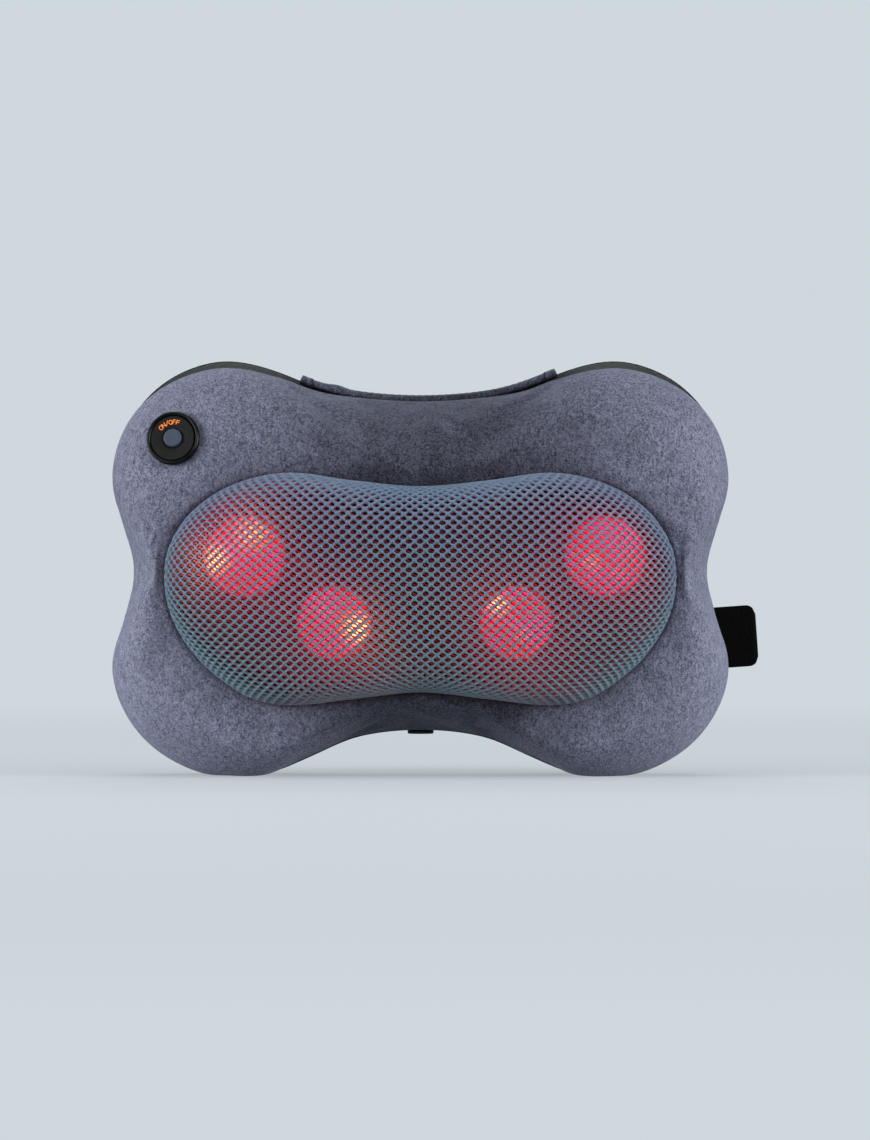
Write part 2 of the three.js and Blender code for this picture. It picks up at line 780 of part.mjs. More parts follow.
const frontBush = (side) =>
  washer(BUSH.bore, BUSH.radius, 41, 49.3, 16).translate(...rotorAxis(side));

const slipRing = (side) =>
  washer(10.2, 17, 49.7, ARM.rear - GAP, 20).translate(...rotorAxis(side));

// A rotor's two heads lie on a line that leans down towards the middle of the pillow.
function armDirection(side) {
  const tilt = THREE.MathUtils.degToRad(ARM.tilt);
  return { x: side * Math.cos(tilt), z: Math.sin(tilt) };
}

// Where a head stands: end is 1 for the outer, upper head and -1 for the inner, lower one.
function headPlace(side, end) {
  const [x, , z] = rotorAxis(side);
  const direction = armDirection(side);
  return [x + end * ARM.reach * direction.x, 0, z + end * ARM.reach * direction.z];
}

function rotorArm(side) {
  const half = ARM.width / 2;
  const bar = new THREE.Shape();
  bar.absarc(ARM.reach, 0, half, -Math.PI / 2, Math.PI / 2);
  bar.absarc(-ARM.reach, 0, half, Math.PI / 2, 1.5 * Math.PI);
  bar.closePath();
  const direction = armDirection(side);
  const beam = plate(bar, ARM.rear, ARM.front, 8)
    .rotateY(-Math.atan2(direction.z, direction.x))
    .translate(...rotorAxis(side));
  const hub = disc(8.5, ARM.front - 1, 69, 20).translate(...rotorAxis(side));
  const bore = disc(SHAFT.radius + GAP, 40, SHAFT.front + GAP, 16).translate(...rotorAxis(side));
  return cut(join(beam, hub), bore);
}

// A hollow massage head, open at its foot.
function massageHead(side, end) {
  const { radius, top, foot } = end > 0 ? HEAD_TALL : HEAD_SHORT;
  const base = ARM.front + GAP;
  const middle = top - radius * 1.05;
  const dome = (inset, reverse) => {
    const points = [0, 0.25, 0.5, 0.75, 1].map((share) => {
      const turn = (share * Math.PI) / 2;
      const r = (radius - inset) * Math.cos(turn);
      return [share === 1 ? 0 : r, middle + (top - inset - middle) * Math.sin(turn)];
    });
    return reverse ? points.reverse() : points;
  };
  const profile = [
    ...dome(HEAD_WALL, true),
    [foot - HEAD_WALL, base],
    [foot, base],
    ...dome(0, false),
  ];
  return turned(profile, 16).translate(...headPlace(side, end));
}

// A lamp board with its bulb, inside a head.
function heatLamp(side, end) {
  const base = ARM.front + GAP;
  const profile = [
    [0, base],
    [10.5, base],
    [10.5, base + 1.6],
    [4, base + 1.6],
    [4, base + 7],
    [2.6, base + 9.6],
    [0, base + 10.6],
  ];
  return turned(profile, 12).translate(...headPlace(side, end));
}

function mainBoard() {
  const board = block([-24, 12, MECH.z - 48], [26, 13.6, MECH.z - 16]);
  const socket = block([-20, 13.5, MECH.z - 44], [-10, 18, MECH.z - 38]);
  const plug = block([14, 13.5, MECH.z - 44], [22, 18, MECH.z - 38]);
  const capacitor = disc(5, 13.5, 27, 12).translate(2, 0, MECH.z - 26);
  return join(board, socket, plug, capacitor);
}

// ---- power inlet and power button ----

// Rotational solid about a vertical line at the inlet, from [radius, z] pairs.
function upright(profile, segments = 16) {
  const points = profile.map(([radius, z]) => new THREE.Vector2(radius, z));
  const lathe = mergeVertices(stripped(new THREE.LatheGeometry(points, segments)), 1e-3);
  return facingOut(lathe).rotateX(Math.PI / 2).translate(0, -JACK.depth, 0);
}

function dcJack() {
  const under = BODY_Z - 86.1; // the side band's lowest face in the bottom hollow
  const { flange, barrel, bore, pin } = JACK;
  return upright([
    [0, under - 0.5],
    [pin, under - 0.5],
    [pin, under + 9],
    [bore, under + 9],
    [bore, under - 2.2],
    [flange, under - 2.2],
    [flange, under - 0.6],
    [barrel, under - 0.6],
    [barrel, under + 12],
    [0, under + 12],
  ]);
}

const JACK_LEAD = [
  [0, JACK.depth, BODY_Z - 73.6],
  [0, JACK.depth, BODY_Z - 67],
  [1.5, 15.5, BODY_Z - 63.5],
  [8, 20, BODY_Z - 57.5],
  [16, 23, BODY_Z - 53],
  [18, 21.5, BODY_Z - 52],
  [18, 18.4, BODY_Z - 52],
];

const BUTTON_LEAD = [
  [-127.5, 56, BODY_Z + 66],
  [-124, 48, BODY_Z + 61],
  [-116, 38, BODY_Z + 47],
  [-107, 36, BODY_Z + 34],
  [-98, 38, BODY_Z + 26],
  [-84, 39, BODY_Z + 12],
  [-60, 39, BODY_Z - 2],
  [-40, 36, BODY_Z - 18],
  [-26, 30, BODY_Z - 37],
  [-17, 25, BODY_Z - 50],
  [-15, 21.5, BODY_Z - 52],
  [-15, 18.4, BODY_Z - 52],
];

// Turns a geometry made about the depth axis at the origin to the power button's place.
function atButton(geometry) {
  return geometry
    .rotateX(THREE.MathUtils.degToRad(-BUTTON.lean))
    .rotateZ(THREE.MathUtils.degToRad(-BUTTON.turn))
    .translate(BUTTON.x, -BUTTON.depth, BUTTON.z);
}

// The space that the button's parts take out of the cover and the foam.
const buttonPocket = (radius) => atButton(disc(radius, -18, 30, 20));

// Heights along the button's own axis, forwards from the cover's face.
function buttonBezel() {
  const rim = BUTTON.bezel;
  return atButton(
    turned(
      [
        [8.6, -15],
        [10.4, -15],
        [10.4, -0.6],
        [rim, -0.6],
        [rim, 2],
        [rim - 0.7, 2.8],
        [rim - 1.4, 2.8],
        [rim - 2.1, 2],
        [rim - 2.1, 1],
        [8.6, 1],
        [8.6, -15],
      ],
      28,
    ),
  );
}

const buttonFace = () =>
  atButton(washer(5.3, BUTTON.bezel - 2.4, 1.3, 2.2, 28));

const powerButton = () =>
  atButton(turned([[0, -4], [4.9, -4], [4.9, 2.6], [4.3, 3.3], [0, 3.6]], 20));

const tactSwitch = () =>
  atButton(turned([[0, -9], [3.6, -9], [3.6, -6.2], [1.6, -6.2], [1.6, -5.6], [0, -5.6]], 12));

const buttonBoard = () =>
  atButton(disc(8.2, -10.8, -9.3, 16));

const clampRing = () =>
  atButton(washer(10.7, 14.8, -14.6, -12.4, 20));

// ---- assembly ----

const massager = new THREE.Group();

function add(name, geometry, material) {
  const mesh = new THREE.Mesh(geometry, material);
  mesh.name = name;
  massager.add(mesh);
}

function addSoftGoods() {
  add("front_cover", frontCover(), plush);
  add("mesh_panel", meshPanel(), airMesh);
  add("side_band", sideBand(), greyKnit);
  add("rear_piping", rearPiping(), webbing);
  add("back_panel", backPanel(), greyKnit);
  add("foam_ring", foamRing(), foam);
  add("top_handle", topHandle(), plush);
  add("handle_tab_left", handleTab(-1), plush);
  add("handle_tab_right", handleTab(1), plush);
}

function addBackFittings() {
  add("strap_long", strapLong(), webbing);
  add("strap_short", strapShort(), webbing);
  add("strap_tab", strapTab(), webbing);
  add("zip_tape_upper", zipTape(1), webbing);
  add("zip_tape_lower", zipTape(-1), webbing);
  add("zip_teeth", zipTeeth(), webbing);
  add("zip_slider", zipSlider(), steel);
  add("zip_pull", zipPull(), steel);
}

function addMechanism() {
  add("base_shell", baseShell(), blackPlastic);
  add("top_shell", topShell(), blackPlastic);
  add("motor_can", motorCan(), steel);
  add("motor_end_cap", motorEndCap(), blackPlastic);
  add("motor_shaft", motorShaft(), steel);
  add("main_board", mainBoard(), circuitBoard);
  SCREWS.forEach((place, i) => add(`housing_screw_${i + 1}`, housingScrew(place), steel));
  [["left", -1], ["right", 1]].forEach(([name, side]) => {
    add(`worm_${name}`, worm(side), whiteNylon);
    add(`shaft_bush_${name}`, shaftBush(side), bronze);
    add(`worm_wheel_${name}`, wormWheel(side), whiteNylon);
    add(`output_shaft_${name}`, outputShaft(side), steel);
    add(`rear_bush_${name}`, rearBush(side), bronze);
    add(`front_bush_${name}`, frontBush(side), bronze);
    add(`slip_ring_${name}`, slipRing(side), bronze);
    add(`rotor_arm_${name}`, rotorArm(side), blackPlastic);
    [["outer", 1], ["inner", -1]].forEach(([place, end]) => {
      add(`massage_head_${name}_${place}`, massageHead(side, end), redLens);
      add(`heat_lamp_${name}_${place}`, heatLamp(side, end), redLens);
    });
  });
}

function addControls() {
  add("dc_jack", dcJack(), blackPlastic);
  add("jack_lead", lead(JACK_LEAD, LEAD_RADIUS, 10), webbing);
  add("button_lead", lead(BUTTON_LEAD, LEAD_RADIUS, 28), webbing);
  add("button_bezel", buttonBezel(), glossBlack);
  add("button_face", buttonFace(), blackPlastic);
  add("power_button", powerButton(), slatePlastic);
  add("tact_switch", tactSwitch(), blackPlastic);
  add("button_board", buttonBoard(), circuitBoard);
  add("button_clamp_ring", clampRing(), whiteNylon);
}

addSoftGoods();
addBackFittings();
addMechanism();
addControls();

// The origin is at the bottom centre of the whole massager's box.
const box = new THREE.Box3().setFromObject(massager);
const middle = box.getCenter(new THREE.Vector3());
massager.position.set(-middle.x, -middle.y, -box.min.z);

export default massager;
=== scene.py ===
"""The looks of the butterfly neck massager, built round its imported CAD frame.

Lengths are millimetres until place() turns them into the frame's metres. A place on the pillow
is x from its middle, depth forwards from the back panel, and z up from what it stands on.
"""

import math

import bpy
import numpy as np
from mathutils import Matrix, Vector


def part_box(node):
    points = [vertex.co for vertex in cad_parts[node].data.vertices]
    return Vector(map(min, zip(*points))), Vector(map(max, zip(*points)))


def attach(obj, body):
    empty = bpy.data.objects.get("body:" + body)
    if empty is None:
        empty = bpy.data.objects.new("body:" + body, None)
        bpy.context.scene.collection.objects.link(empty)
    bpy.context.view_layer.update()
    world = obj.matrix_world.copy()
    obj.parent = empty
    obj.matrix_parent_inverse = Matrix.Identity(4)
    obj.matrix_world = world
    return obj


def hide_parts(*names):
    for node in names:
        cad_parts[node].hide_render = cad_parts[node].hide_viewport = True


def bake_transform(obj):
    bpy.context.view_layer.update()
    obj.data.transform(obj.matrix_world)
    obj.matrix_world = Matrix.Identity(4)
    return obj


MM = 0.001
TURN = 2 * math.pi

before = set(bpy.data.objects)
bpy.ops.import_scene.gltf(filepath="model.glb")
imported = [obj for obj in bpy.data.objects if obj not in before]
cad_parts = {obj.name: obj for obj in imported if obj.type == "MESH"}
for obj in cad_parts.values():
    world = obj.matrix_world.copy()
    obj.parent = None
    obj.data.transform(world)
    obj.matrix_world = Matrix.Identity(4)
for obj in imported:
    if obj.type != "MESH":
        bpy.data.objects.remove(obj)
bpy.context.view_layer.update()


# ---- where things are ----

cover_low, cover_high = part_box("front_cover")
BODY_X = (cover_low.x + cover_high.x) / 2 / MM
REAR_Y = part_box("back_panel")[1].y / MM
BODY_Z = 110.2  # height of the middle of the pillow
POLE_Z = BODY_Z - 10.5  # every outline is given round this height at x = 0

# Right half of the rear outline from the top down: x, z from the body's middle, and how far
# the front cover's edge lies inside it.
OUTLINE = [
    (0, 89.6, 0), (38, 92.6, 0.6), (58, 98, 3.4), (78, 106.4, 5.4),
    (106, 112, 5.8), (136, 101.6, 3.6), (156, 80, 0.8), (164.6, 49, 0),
    (158.2, 22, 0), (152.3, 0, 0), (157, -23, 0), (164.6, -54, 0),
    (152.7, -84, 0), (130.5, -102.8, 0), (94.5, -113.2, 0.6), (62, -101.8, 1.9),
    (35, -90.2, 1.2), (0, -86.1, 0.3),
]
WINDOW = [
    (0, 43.3), (36, 46.5), (70, 50.6), (98, 44.6), (119, 31.5),
    (131, 15), (134.8, 0), (131.5, -24), (118.5, -45.5), (103, -59.5),
    (88, -68.3), (70, -71.6), (36, -68.3), (0, -64.7),
]

PIPING = 1.5  # radius of the cord round the back
FLOOR_EASE = 4.5  # how far from the floor the outline starts to flatten
BAND_REAR, BAND_BEND, BAND_FRONT = 3.8, 19, 33  # depths of the side band
SEAM, LIP = 33.3, 76  # depths of the front cover's seam and of the mesh window's edge
ROUNDNESS = 2.3  # of the plush's curve: 2 is an ellipse, more is fuller
MESH_RISE, MESH_DIP, MESH_DIP_WIDTH = 34, 0.2, 36
MESH_SUNK = 2.4  # how far the mesh's edge lies behind the lip
HEAD_BUMP = 4.2  # how far a head pushes the mesh out
MECH_X = 2.5
HEADS = [  # side and end, middle, radius, depth of the top, painted lamp spots: x, z, brightness and spread
    ("left_outer", -92.4, 116.8, 22, 96.3, [(-15.5, -2, 0.9, 5.5), (4, 12, 0.5, 7.5)]),
    ("right_outer", 97.4, 116.8, 22, 96.3, [(-8, -3, 0.3, 5.0), (6, -8, 0.2, 5.0)]),
    ("left_inner", -45.6, 81.6, 20, 93, [(13, -3, 0.8, 6.2), (-5, 8, 0.2, 6.0)]),
    ("right_inner", 50.6, 81.6, 20, 93, [(-10, 9.6, 0.65, 4.5), (4, -6, 0.25, 6.0)]),
]


def place(x, depth, z):
    """Points in the frame's metres from x, depth and z, which may be arrays."""
    x, depth, z = np.broadcast_arrays(x, depth, z)
    return np.stack([BODY_X + x, REAR_Y - depth, z], axis=-1).astype(float) * MM


def spline(points, steps):
    """A closed centripetal Catmull-Rom line through the points."""
    points = np.asarray(points, float)
    before, after = np.roll(points, 1, axis=0), np.roll(points, -1, axis=0)
    beyond = np.roll(points, -2, axis=0)
    t = np.linspace(0, 1, steps, endpoint=False)[:, None]
    line = []
    for p0, p1, p2, p3 in zip(before, points, after, beyond):
        d0, d1, d2 = (math.sqrt(np.linalg.norm(b - a)) for a, b in ((p0, p1), (p1, p2), (p2, p3)))
        m1 = ((p1 - p0) / d0 - (p2 - p0) / (d0 + d1) + (p2 - p1) / d1) * d1
        m2 = ((p2 - p1) / d1 - (p3 - p1) / (d1 + d2) + (p3 - p2) / d2) * d1
        cubic = 2 * p1 - 2 * p2 + m1 + m2
        square = -3 * p1 + 3 * p2 - 2 * m1 - m2
        line.append(p1 + m1 * t + square * t**2 + cubic * t**3)
    return np.vstack(line)


def angles(count):
    return np.arange(count) * TURN / count


def between(value, low, high):
    """The share of the way from low to high, held from 0 to 1."""
    return np.clip((value - low) / (high - low), 0, 1)


def eased(share):
    return share * share * (3 - 2 * share)


def mirrored(half):
    return [(x, z) for x, z in half] + [(-x, z) for x, z in half[-2:0:-1]]


def polar(half):
    """The radius of a mirrored outline round the pole, as a function of the angle."""
    line = spline([(x, BODY_Z + z - POLE_Z) for x, z in mirrored(half)], 40)
    angle = np.arctan2(line[:, 1], line[:, 0])
    order = np.argsort(angle)
    angle, radius = angle[order], np.hypot(line[:, 0], line[:, 1])[order]
    even = angles(1440)
    radius = np.interp(even, angle, radius, period=TURN)
    spread = np.exp(-((np.arange(-24, 25) / 8) ** 2) / 2)
    radius = np.convolve(np.pad(radius, 24, mode="wrap"), spread / spread.sum(), "valid")
    return lambda a: np.interp(a, even, radius, period=TURN)


def inset_outline():
    points = []
    for x, z, inset in OUTLINE:
        height = z + BODY_Z - POLE_Z
        share = 1 - inset / math.hypot(x, height)
        points.append((x * share, height * share + POLE_Z - BODY_Z))
    return points


loose_radius = polar([(x, z) for x, z, _ in OUTLINE])
cover_radius = polar(inset_outline())
window_radius = polar(WINDOW)


def floor_radius(angle):
    return POLE_Z / np.maximum(-np.sin(angle), 0.01)


def on_floor(radius, angle):
    """The radius, eased into the flat that the pillow stands on."""
    floor = floor_radius(angle)
    free = np.clip(0.5 + (floor - radius) / (2 * FLOOR_EASE), 0, 1)
    return floor * (1 - free) + radius * free - FLOOR_EASE * free * (1 - free)


def rear_radius(angle):
    return on_floor(loose_radius(angle), angle)


def around(angle, radius, depth):
    return place(radius * np.cos(angle), depth, POLE_Z + radius * np.sin(angle))


# ---- meshes ----


def add_object(name, data):
    thing = bpy.data.objects.new(name, data)
    bpy.context.scene.collection.objects.link(thing)
    return thing


def new_object(name, points, faces, smooth=True):
    mesh = bpy.data.meshes.new(name)
    mesh.from_pydata(np.asarray(points, float).reshape(-1, 3).tolist(), [], faces)
    mesh.validate()
    if smooth:
        mesh.shade_smooth()
    return add_object(name, mesh)


def grid_faces(rows, columns, wrap_rows, wrap_columns, start=0, flip=False):
    faces = []
    for i in range(rows if wrap_rows else rows - 1):
        for j in range(columns if wrap_columns else columns - 1):
            a, b = i * columns + j, i * columns + (j + 1) % columns
            c, d = ((i + 1) % rows) * columns + (j + 1) % columns, ((i + 1) % rows) * columns + j
            face = (a, b, c, d) if not flip else (d, c, b, a)
            faces.append(tuple(start + k for k in face))
    return faces


def skin(name, points, wrap_rows=False, wrap_columns=False, flip=False):
    """A surface over a grid of points, rows by columns."""
    rows, columns = points.shape[:2]
    return new_object(name, points, grid_faces(rows, columns, wrap_rows, wrap_columns, 0, flip))


def tube(name, points):
    """A skin over rings of points, closed at both of its ends."""
    rows, columns = points.shape[:2]
    faces = grid_faces(rows, columns, False, True)
    faces += [tuple(range(columns))[::-1], tuple(range((rows - 1) * columns, rows * columns))]
    return new_object(name, points, faces)


def apply_modifiers(piece):
    """Leaves the piece with the mesh that its modifiers make."""
    graph = bpy.context.evaluated_depsgraph_get()
    mesh = bpy.data.meshes.new_from_object(piece.evaluated_get(graph))
    piece.modifiers.clear()
    piece.data = mesh


def subdivide(piece):
    modifier = piece.modifiers.new("Subdivision", "SUBSURF")
    modifier.levels = modifier.render_levels = 1
    apply_modifiers(piece)


def weld(piece, distance):
    piece.modifiers.new("Weld", "WELD").merge_threshold = distance * MM


def smooth_below(piece, degrees):
    """Shades the piece smooth, but for the edges that bend by more than degrees."""
    piece.data.shade_smooth()
    piece.data.set_sharp_from_angle(angle=math.radians(degrees))


def bevelled(node, width):
    """A copy of a CAD node with rounded edges, which stands for it."""
    piece = add_object(node + "_detail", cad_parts[node].data.copy())
    weld(piece, 0.01)
    bevel = piece.modifiers.new("Bevel", "BEVEL")
    bevel.width = width * MM
    bevel.segments = 2
    bevel.angle_limit = math.radians(35)
    apply_modifiers(piece)
    smooth_below(piece, 28)
    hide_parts(node)
    return piece


def lathe(name, profile, matrix, steps, sharp_angle):
    """A solid of revolution about the depth axis, from [radius, depth] pairs, then placed."""
    radius, depth = np.asarray(profile, float).T
    turn = angles(steps)[:, None]
    axes = np.broadcast_arrays(radius * np.cos(turn), -depth, radius * np.sin(turn))
    piece = skin(name, np.stack(axes, axis=-1) * MM, wrap_rows=True)
    piece.data.transform(matrix)
    weld(piece, 0.005)
    apply_modifiers(piece)
    smooth_below(piece, sharp_angle)
    return piece


def rounded(profile, radius, steps=3):
    """A lathe profile with its inner corners rounded."""
    points = [np.array(p, float) for p in profile]
    line = [points[0]]
    for a, b, c in zip(points, points[1:], points[2:]):
        size = min(radius, np.linalg.norm(a - b) / 2.2, np.linalg.norm(c - b) / 2.2)
        start = b + (a - b) / np.linalg.norm(a - b) * size
        end = b + (c - b) / np.linalg.norm(c - b) * size
        for k in range(steps + 1):
            t = k / steps
            line.append((1 - t) ** 2 * start + 2 * t * (1 - t) * b + t**2 * end)
    line.append(points[-1])
    return line


PUFF_PRESSURE, PUFF_FRAMES = 2.2, 18
PUFF_LIMIT = 3.0  # the farthest that a point of the plush may move


def cloth_puff(piece, pinned):
    """Blows a sheet out with Blender's cloth, from its pinned edges, and keeps the result."""
    rest = np.array([v.co for v in piece.data.vertices])
    group = piece.vertex_groups.new(name="pinned")
    group.add([int(i) for i in pinned], 1.0, "REPLACE")
    cloth = piece.modifiers.new("Cloth", "CLOTH")
    settings = cloth.settings
    settings.quality = 5
    settings.mass = 0.15
    settings.tension_stiffness = settings.compression_stiffness = 12
    settings.shear_stiffness = 6
    settings.bending_stiffness = 0.4
    settings.use_pressure = True
    settings.uniform_pressure_force = PUFF_PRESSURE
    settings.vertex_group_mass = "pinned"
    settings.shrink_min = -0.015
    settings.effector_weights.gravity = 0
    cloth.point_cache.frame_start = 1
    cloth.point_cache.frame_end = PUFF_FRAMES
    for step in range(1, PUFF_FRAMES + 1):
        bpy.context.scene.frame_set(step)
    graph = bpy.context.evaluated_depsgraph_get()
    moved = np.array([v.co for v in piece.evaluated_get(graph).data.vertices])
    piece.modifiers.clear()
    bpy.context.scene.frame_set(1)
    move = moved - rest
    size = np.linalg.norm(move, axis=1, keepdims=True)
    move *= np.minimum(1, PUFF_LIMIT * MM / np.maximum(size, 1e-9))
    piece.data.vertices.foreach_set("co", (rest + move).ravel())
    piece.data.update()


# ---- materials ----


def srgb(red, green, blue):
    """A linear colour from the 0 to 255 numbers of a screen."""
    levels = [c / 255 for c in (red, green, blue)]
    linear = [c / 12.92 if c <= 0.04045 else ((c + 0.055) / 1.055) ** 2.4 for c in levels]
    return (*linear, 1.0)


def paler(color, times, plus=0.0):
    """The colour made lighter, or darker where times is under 1."""
    return (*(min(1, c * times + plus) for c in color[:3]), 1)


class Shader:
    """A material's node tree, with short ways to add to it."""

    def __init__(self, name):
        self.material = bpy.data.materials.new(name)
        self.material.use_nodes = True
        self.tree = self.material.node_tree
        self.surface = self.tree.nodes["Principled BSDF"]
        self.output = self.tree.nodes["Material Output"]
        self.place = self.add("TexCoord").outputs["Object"]

    def add(self, kind, inputs=None, **settings):
        node = self.tree.nodes.new("ShaderNode" + kind)
        for key, value in settings.items():
            setattr(node, key, value)
        self.feed(node, inputs or {})
        return node

    def feed(self, node, inputs):
        for key, value in inputs.items():
            if isinstance(value, bpy.types.NodeSocket):
                self.tree.links.new(value, node.inputs[key])
            else:
                node.inputs[key].default_value = value

    def noise(self, size, detail=3.0, roughness=0.6, distortion=0.0, stretch=(1, 1, 1)):
        """Noise whose blobs are about size millimetres."""
        scaled = self.add("Mapping", {"Vector": self.place, "Scale": stretch})
        inputs = {"Vector": scaled.outputs["Vector"], "Scale": 1 / (size * MM), "Detail": detail}
        inputs |= {"Roughness": roughness, "Distortion": distortion}
        return self.add("TexNoise", inputs).outputs["Fac"]

    def axis(self, name):
        """The X, Y or Z of the place on the object, in metres."""
        return self.add("SeparateXYZ", {"Vector": self.place}).outputs[name]

    def cells(self, size):
        inputs = {"Vector": self.place, "Scale": 1 / (size * MM)}
        return self.add("TexVoronoi", inputs).outputs["Distance"]

    def ribs(self, size, direction):
        """Straight ribs every size millimetres across X, Y or Z."""
        inputs = {"Vector": self.place, "Scale": math.pi / (10 * size * MM)}
        node = self.add("TexWave", inputs, bands_direction=direction)
        return node.outputs["Fac"]

    def math(self, operation, a, b=0.5):
        return self.add("Math", {0: a, 1: b}, operation=operation).outputs[0]

    def times(self, a, b):
        return self.math("MULTIPLY", a, b)

    def plus(self, a, b):
        return self.math("ADD", a, b)

    def span(self, value, low, high, to_low=0.0, to_high=1.0):
        inputs = {"Value": value, 1: low, 2: high, 3: to_low, 4: to_high}
        return self.add("MapRange", inputs).outputs[0]

    def mix(self, share, dark, light):
        node = self.add("Mix", data_type="RGBA")
        self.feed(node, {0: share, 6: dark, 7: light})
        return node.outputs[2]

    def bump(self, height, strength, distance):
        inputs = {"Height": height, "Strength": strength, "Distance": distance * MM}
        return self.add("Bump", inputs).outputs["Normal"]

    def mix_surface(self, share, other):
        """Mixes a share of another shader into the surface."""
        inputs = {0: share, 1: self.surface.outputs["BSDF"], 2: other}
        both = self.add("MixShader", inputs)
        self.feed(self.output, {"Surface": both.outputs["Shader"]})

    def set(self, **inputs):
        self.feed(self.surface, {key.replace("_", " "): value for key, value in inputs.items()})
        return self.material


def plush_material():
    """Short velour: mottled nap, brushed patches, painted light on the outer and lower lobes with
    painted shade in the middle, and a pale sheen at its edges.
    """
    s = Shader("plush_fabric")
    nap = s.noise(1.0, 3, 0.85, 0.4, (1, 1, 1.25))
    streaks = s.noise(1.8, 3, 0.6, 1.2, (1, 1, 0.55))
    brushed = s.noise(30, 3, 0.55, 0.8)
    fine = s.plus(s.times(nap, 0.62), s.times(streaks, 0.38))
    speckle = s.span(fine, 0.4, 0.6)
    middle_out = s.math("ABSOLUTE", s.axis("X"))
    # outer is painted light: the plush is made paler towards the outer lobes and darker in the
    # middle.
    outer = s.span(middle_out, 0.035, 0.15)
    brushed_and_painted_light = s.plus(s.times(brushed, 0.42), s.times(outer, 0.74))
    # lower is painted light too: paler still on the lower outer lobes.
    lower = s.times(outer, s.span(s.axis("Z"), 0.12, 0.03, 0.0, 0.34))
    # tone mixes the random brushed patches with this painted light and shade.
    tone = s.span(s.plus(brushed_and_painted_light, lower), 0.19, 1.24)
    base = s.mix(tone, srgb(9, 8, 24), srgb(150, 155, 182))
    dark = s.mix(0.64, base, srgb(8, 8, 20))
    light = s.mix(s.span(tone, 0.0, 0.8, 0.18, 0.5), base, srgb(190, 194, 220))
    color = s.mix(speckle, dark, light)
    tufts = s.plus(fine, s.times(s.noise(0.5, 2), 0.35))
    return s.set(
        Base_Color=color,
        Roughness=0.95,
        Sheen_Weight=0.42,
        Sheen_Roughness=0.4,
        Sheen_Tint=srgb(176, 182, 205),
        Specular_IOR_Level=0.15,
        Normal=s.bump(tufts, 0.9, 1.0),
    )


def mesh_material(name, violet, teal, highlight, through):
    """Air mesh yarn, which lets the light of the heads through."""
    s = Shader(name)
    fibres = s.noise(0.5, 2)
    tint = s.plus(s.times(s.noise(50, 2), 0.6), s.span(s.axis("Z"), 0.15, 0.05))
    thread = s.mix(s.span(tint, 0.35, 1.1), violet, teal)
    color = s.mix(s.span(fibres, 0.3, 0.7), thread, highlight)
    s.set(
        Base_Color=color,
        Roughness=0.42,
        Sheen_Weight=0.7,
        Sheen_Roughness=0.35,
        Sheen_Tint=srgb(205, 222, 232),
        Specular_IOR_Level=0.6,
        Normal=s.bump(fibres, 0.5, 0.25),
    )
    glow = s.add("BsdfTranslucent", {"Color": (0.9, 0.4, 0.5, 1)})
    s.mix_surface(through, glow.outputs["BSDF"])
    return s.material


def knit_material(name, dark, light, pitch=1.1, sheen=0.08):
    """Fine interlock knit."""
    s = Shader(name)
    loops = s.cells(pitch)
    shade = s.plus(s.times(loops, 0.6), s.times(s.noise(12, 3), 0.5))
    return s.set(
        Base_Color=s.mix(s.span(shade, 0.25, 0.8), dark, light),
        Roughness=0.9,
        Sheen_Weight=sheen,
        Specular_IOR_Level=0.12,
        Normal=s.bump(loops, 0.6, 0.5),
    )


def webbing_material(name, color, rib=1.3, across="X"):
    """Woven webbing with ribs along its length and a fine weft."""
    s = Shader(name)
    other = "Z" if across == "X" else "X"
    weave = s.times(s.ribs(rib, across), s.ribs(rib * 1.7, other))
    height = s.plus(weave, s.times(s.noise(0.7, 2), 0.4))
    return s.set(
        Base_Color=s.mix(s.span(height, 0.1, 1.1), color, paler(color, 2.6, 0.0025)),
        Roughness=0.75,
        Specular_IOR_Level=0.2,
        Normal=s.bump(height, 0.7, 0.35),
    )


def foam_material():
    s = Shader("dark_foam")
    cells = s.cells(1.4)
    color = s.mix(s.span(cells, 0.1, 0.6), srgb(5, 6, 8), srgb(13, 14, 18))
    return s.set(Base_Color=color, Roughness=0.98, Normal=s.bump(cells, 0.8, 0.9))


def plastic_material(name, color, roughness, grain=0.35, specular=0.5):
    """Moulded plastic with a fine grain and slight wear."""
    s = Shader(name)
    fine = s.noise(grain, 2)
    wear = s.noise(9, 4)
    return s.set(
        Base_Color=s.mix(s.span(wear, 0.4, 0.75), color, paler(color, 1.5, 0.004)),
        Roughness=s.span(wear, 0.3, 0.7, roughness - 0.06, roughness + 0.08),
        Specular_IOR_Level=specular,
        Normal=s.bump(fine, 0.25, 0.06),
    )


def metal_material(name, color, roughness, stretch=(1, 1, 1)):
    """Metal with fine machining marks."""
    s = Shader(name)
    marks = s.noise(0.8, 3, 0.6, 0.0, stretch)
    return s.set(
        Base_Color=s.mix(marks, paler(color, 0.82), color),
        Metallic=1.0,
        Roughness=s.span(marks, 0.3, 0.7, roughness - 0.08, roughness + 0.1),
        Normal=s.bump(marks, 0.2, 0.05),
    )


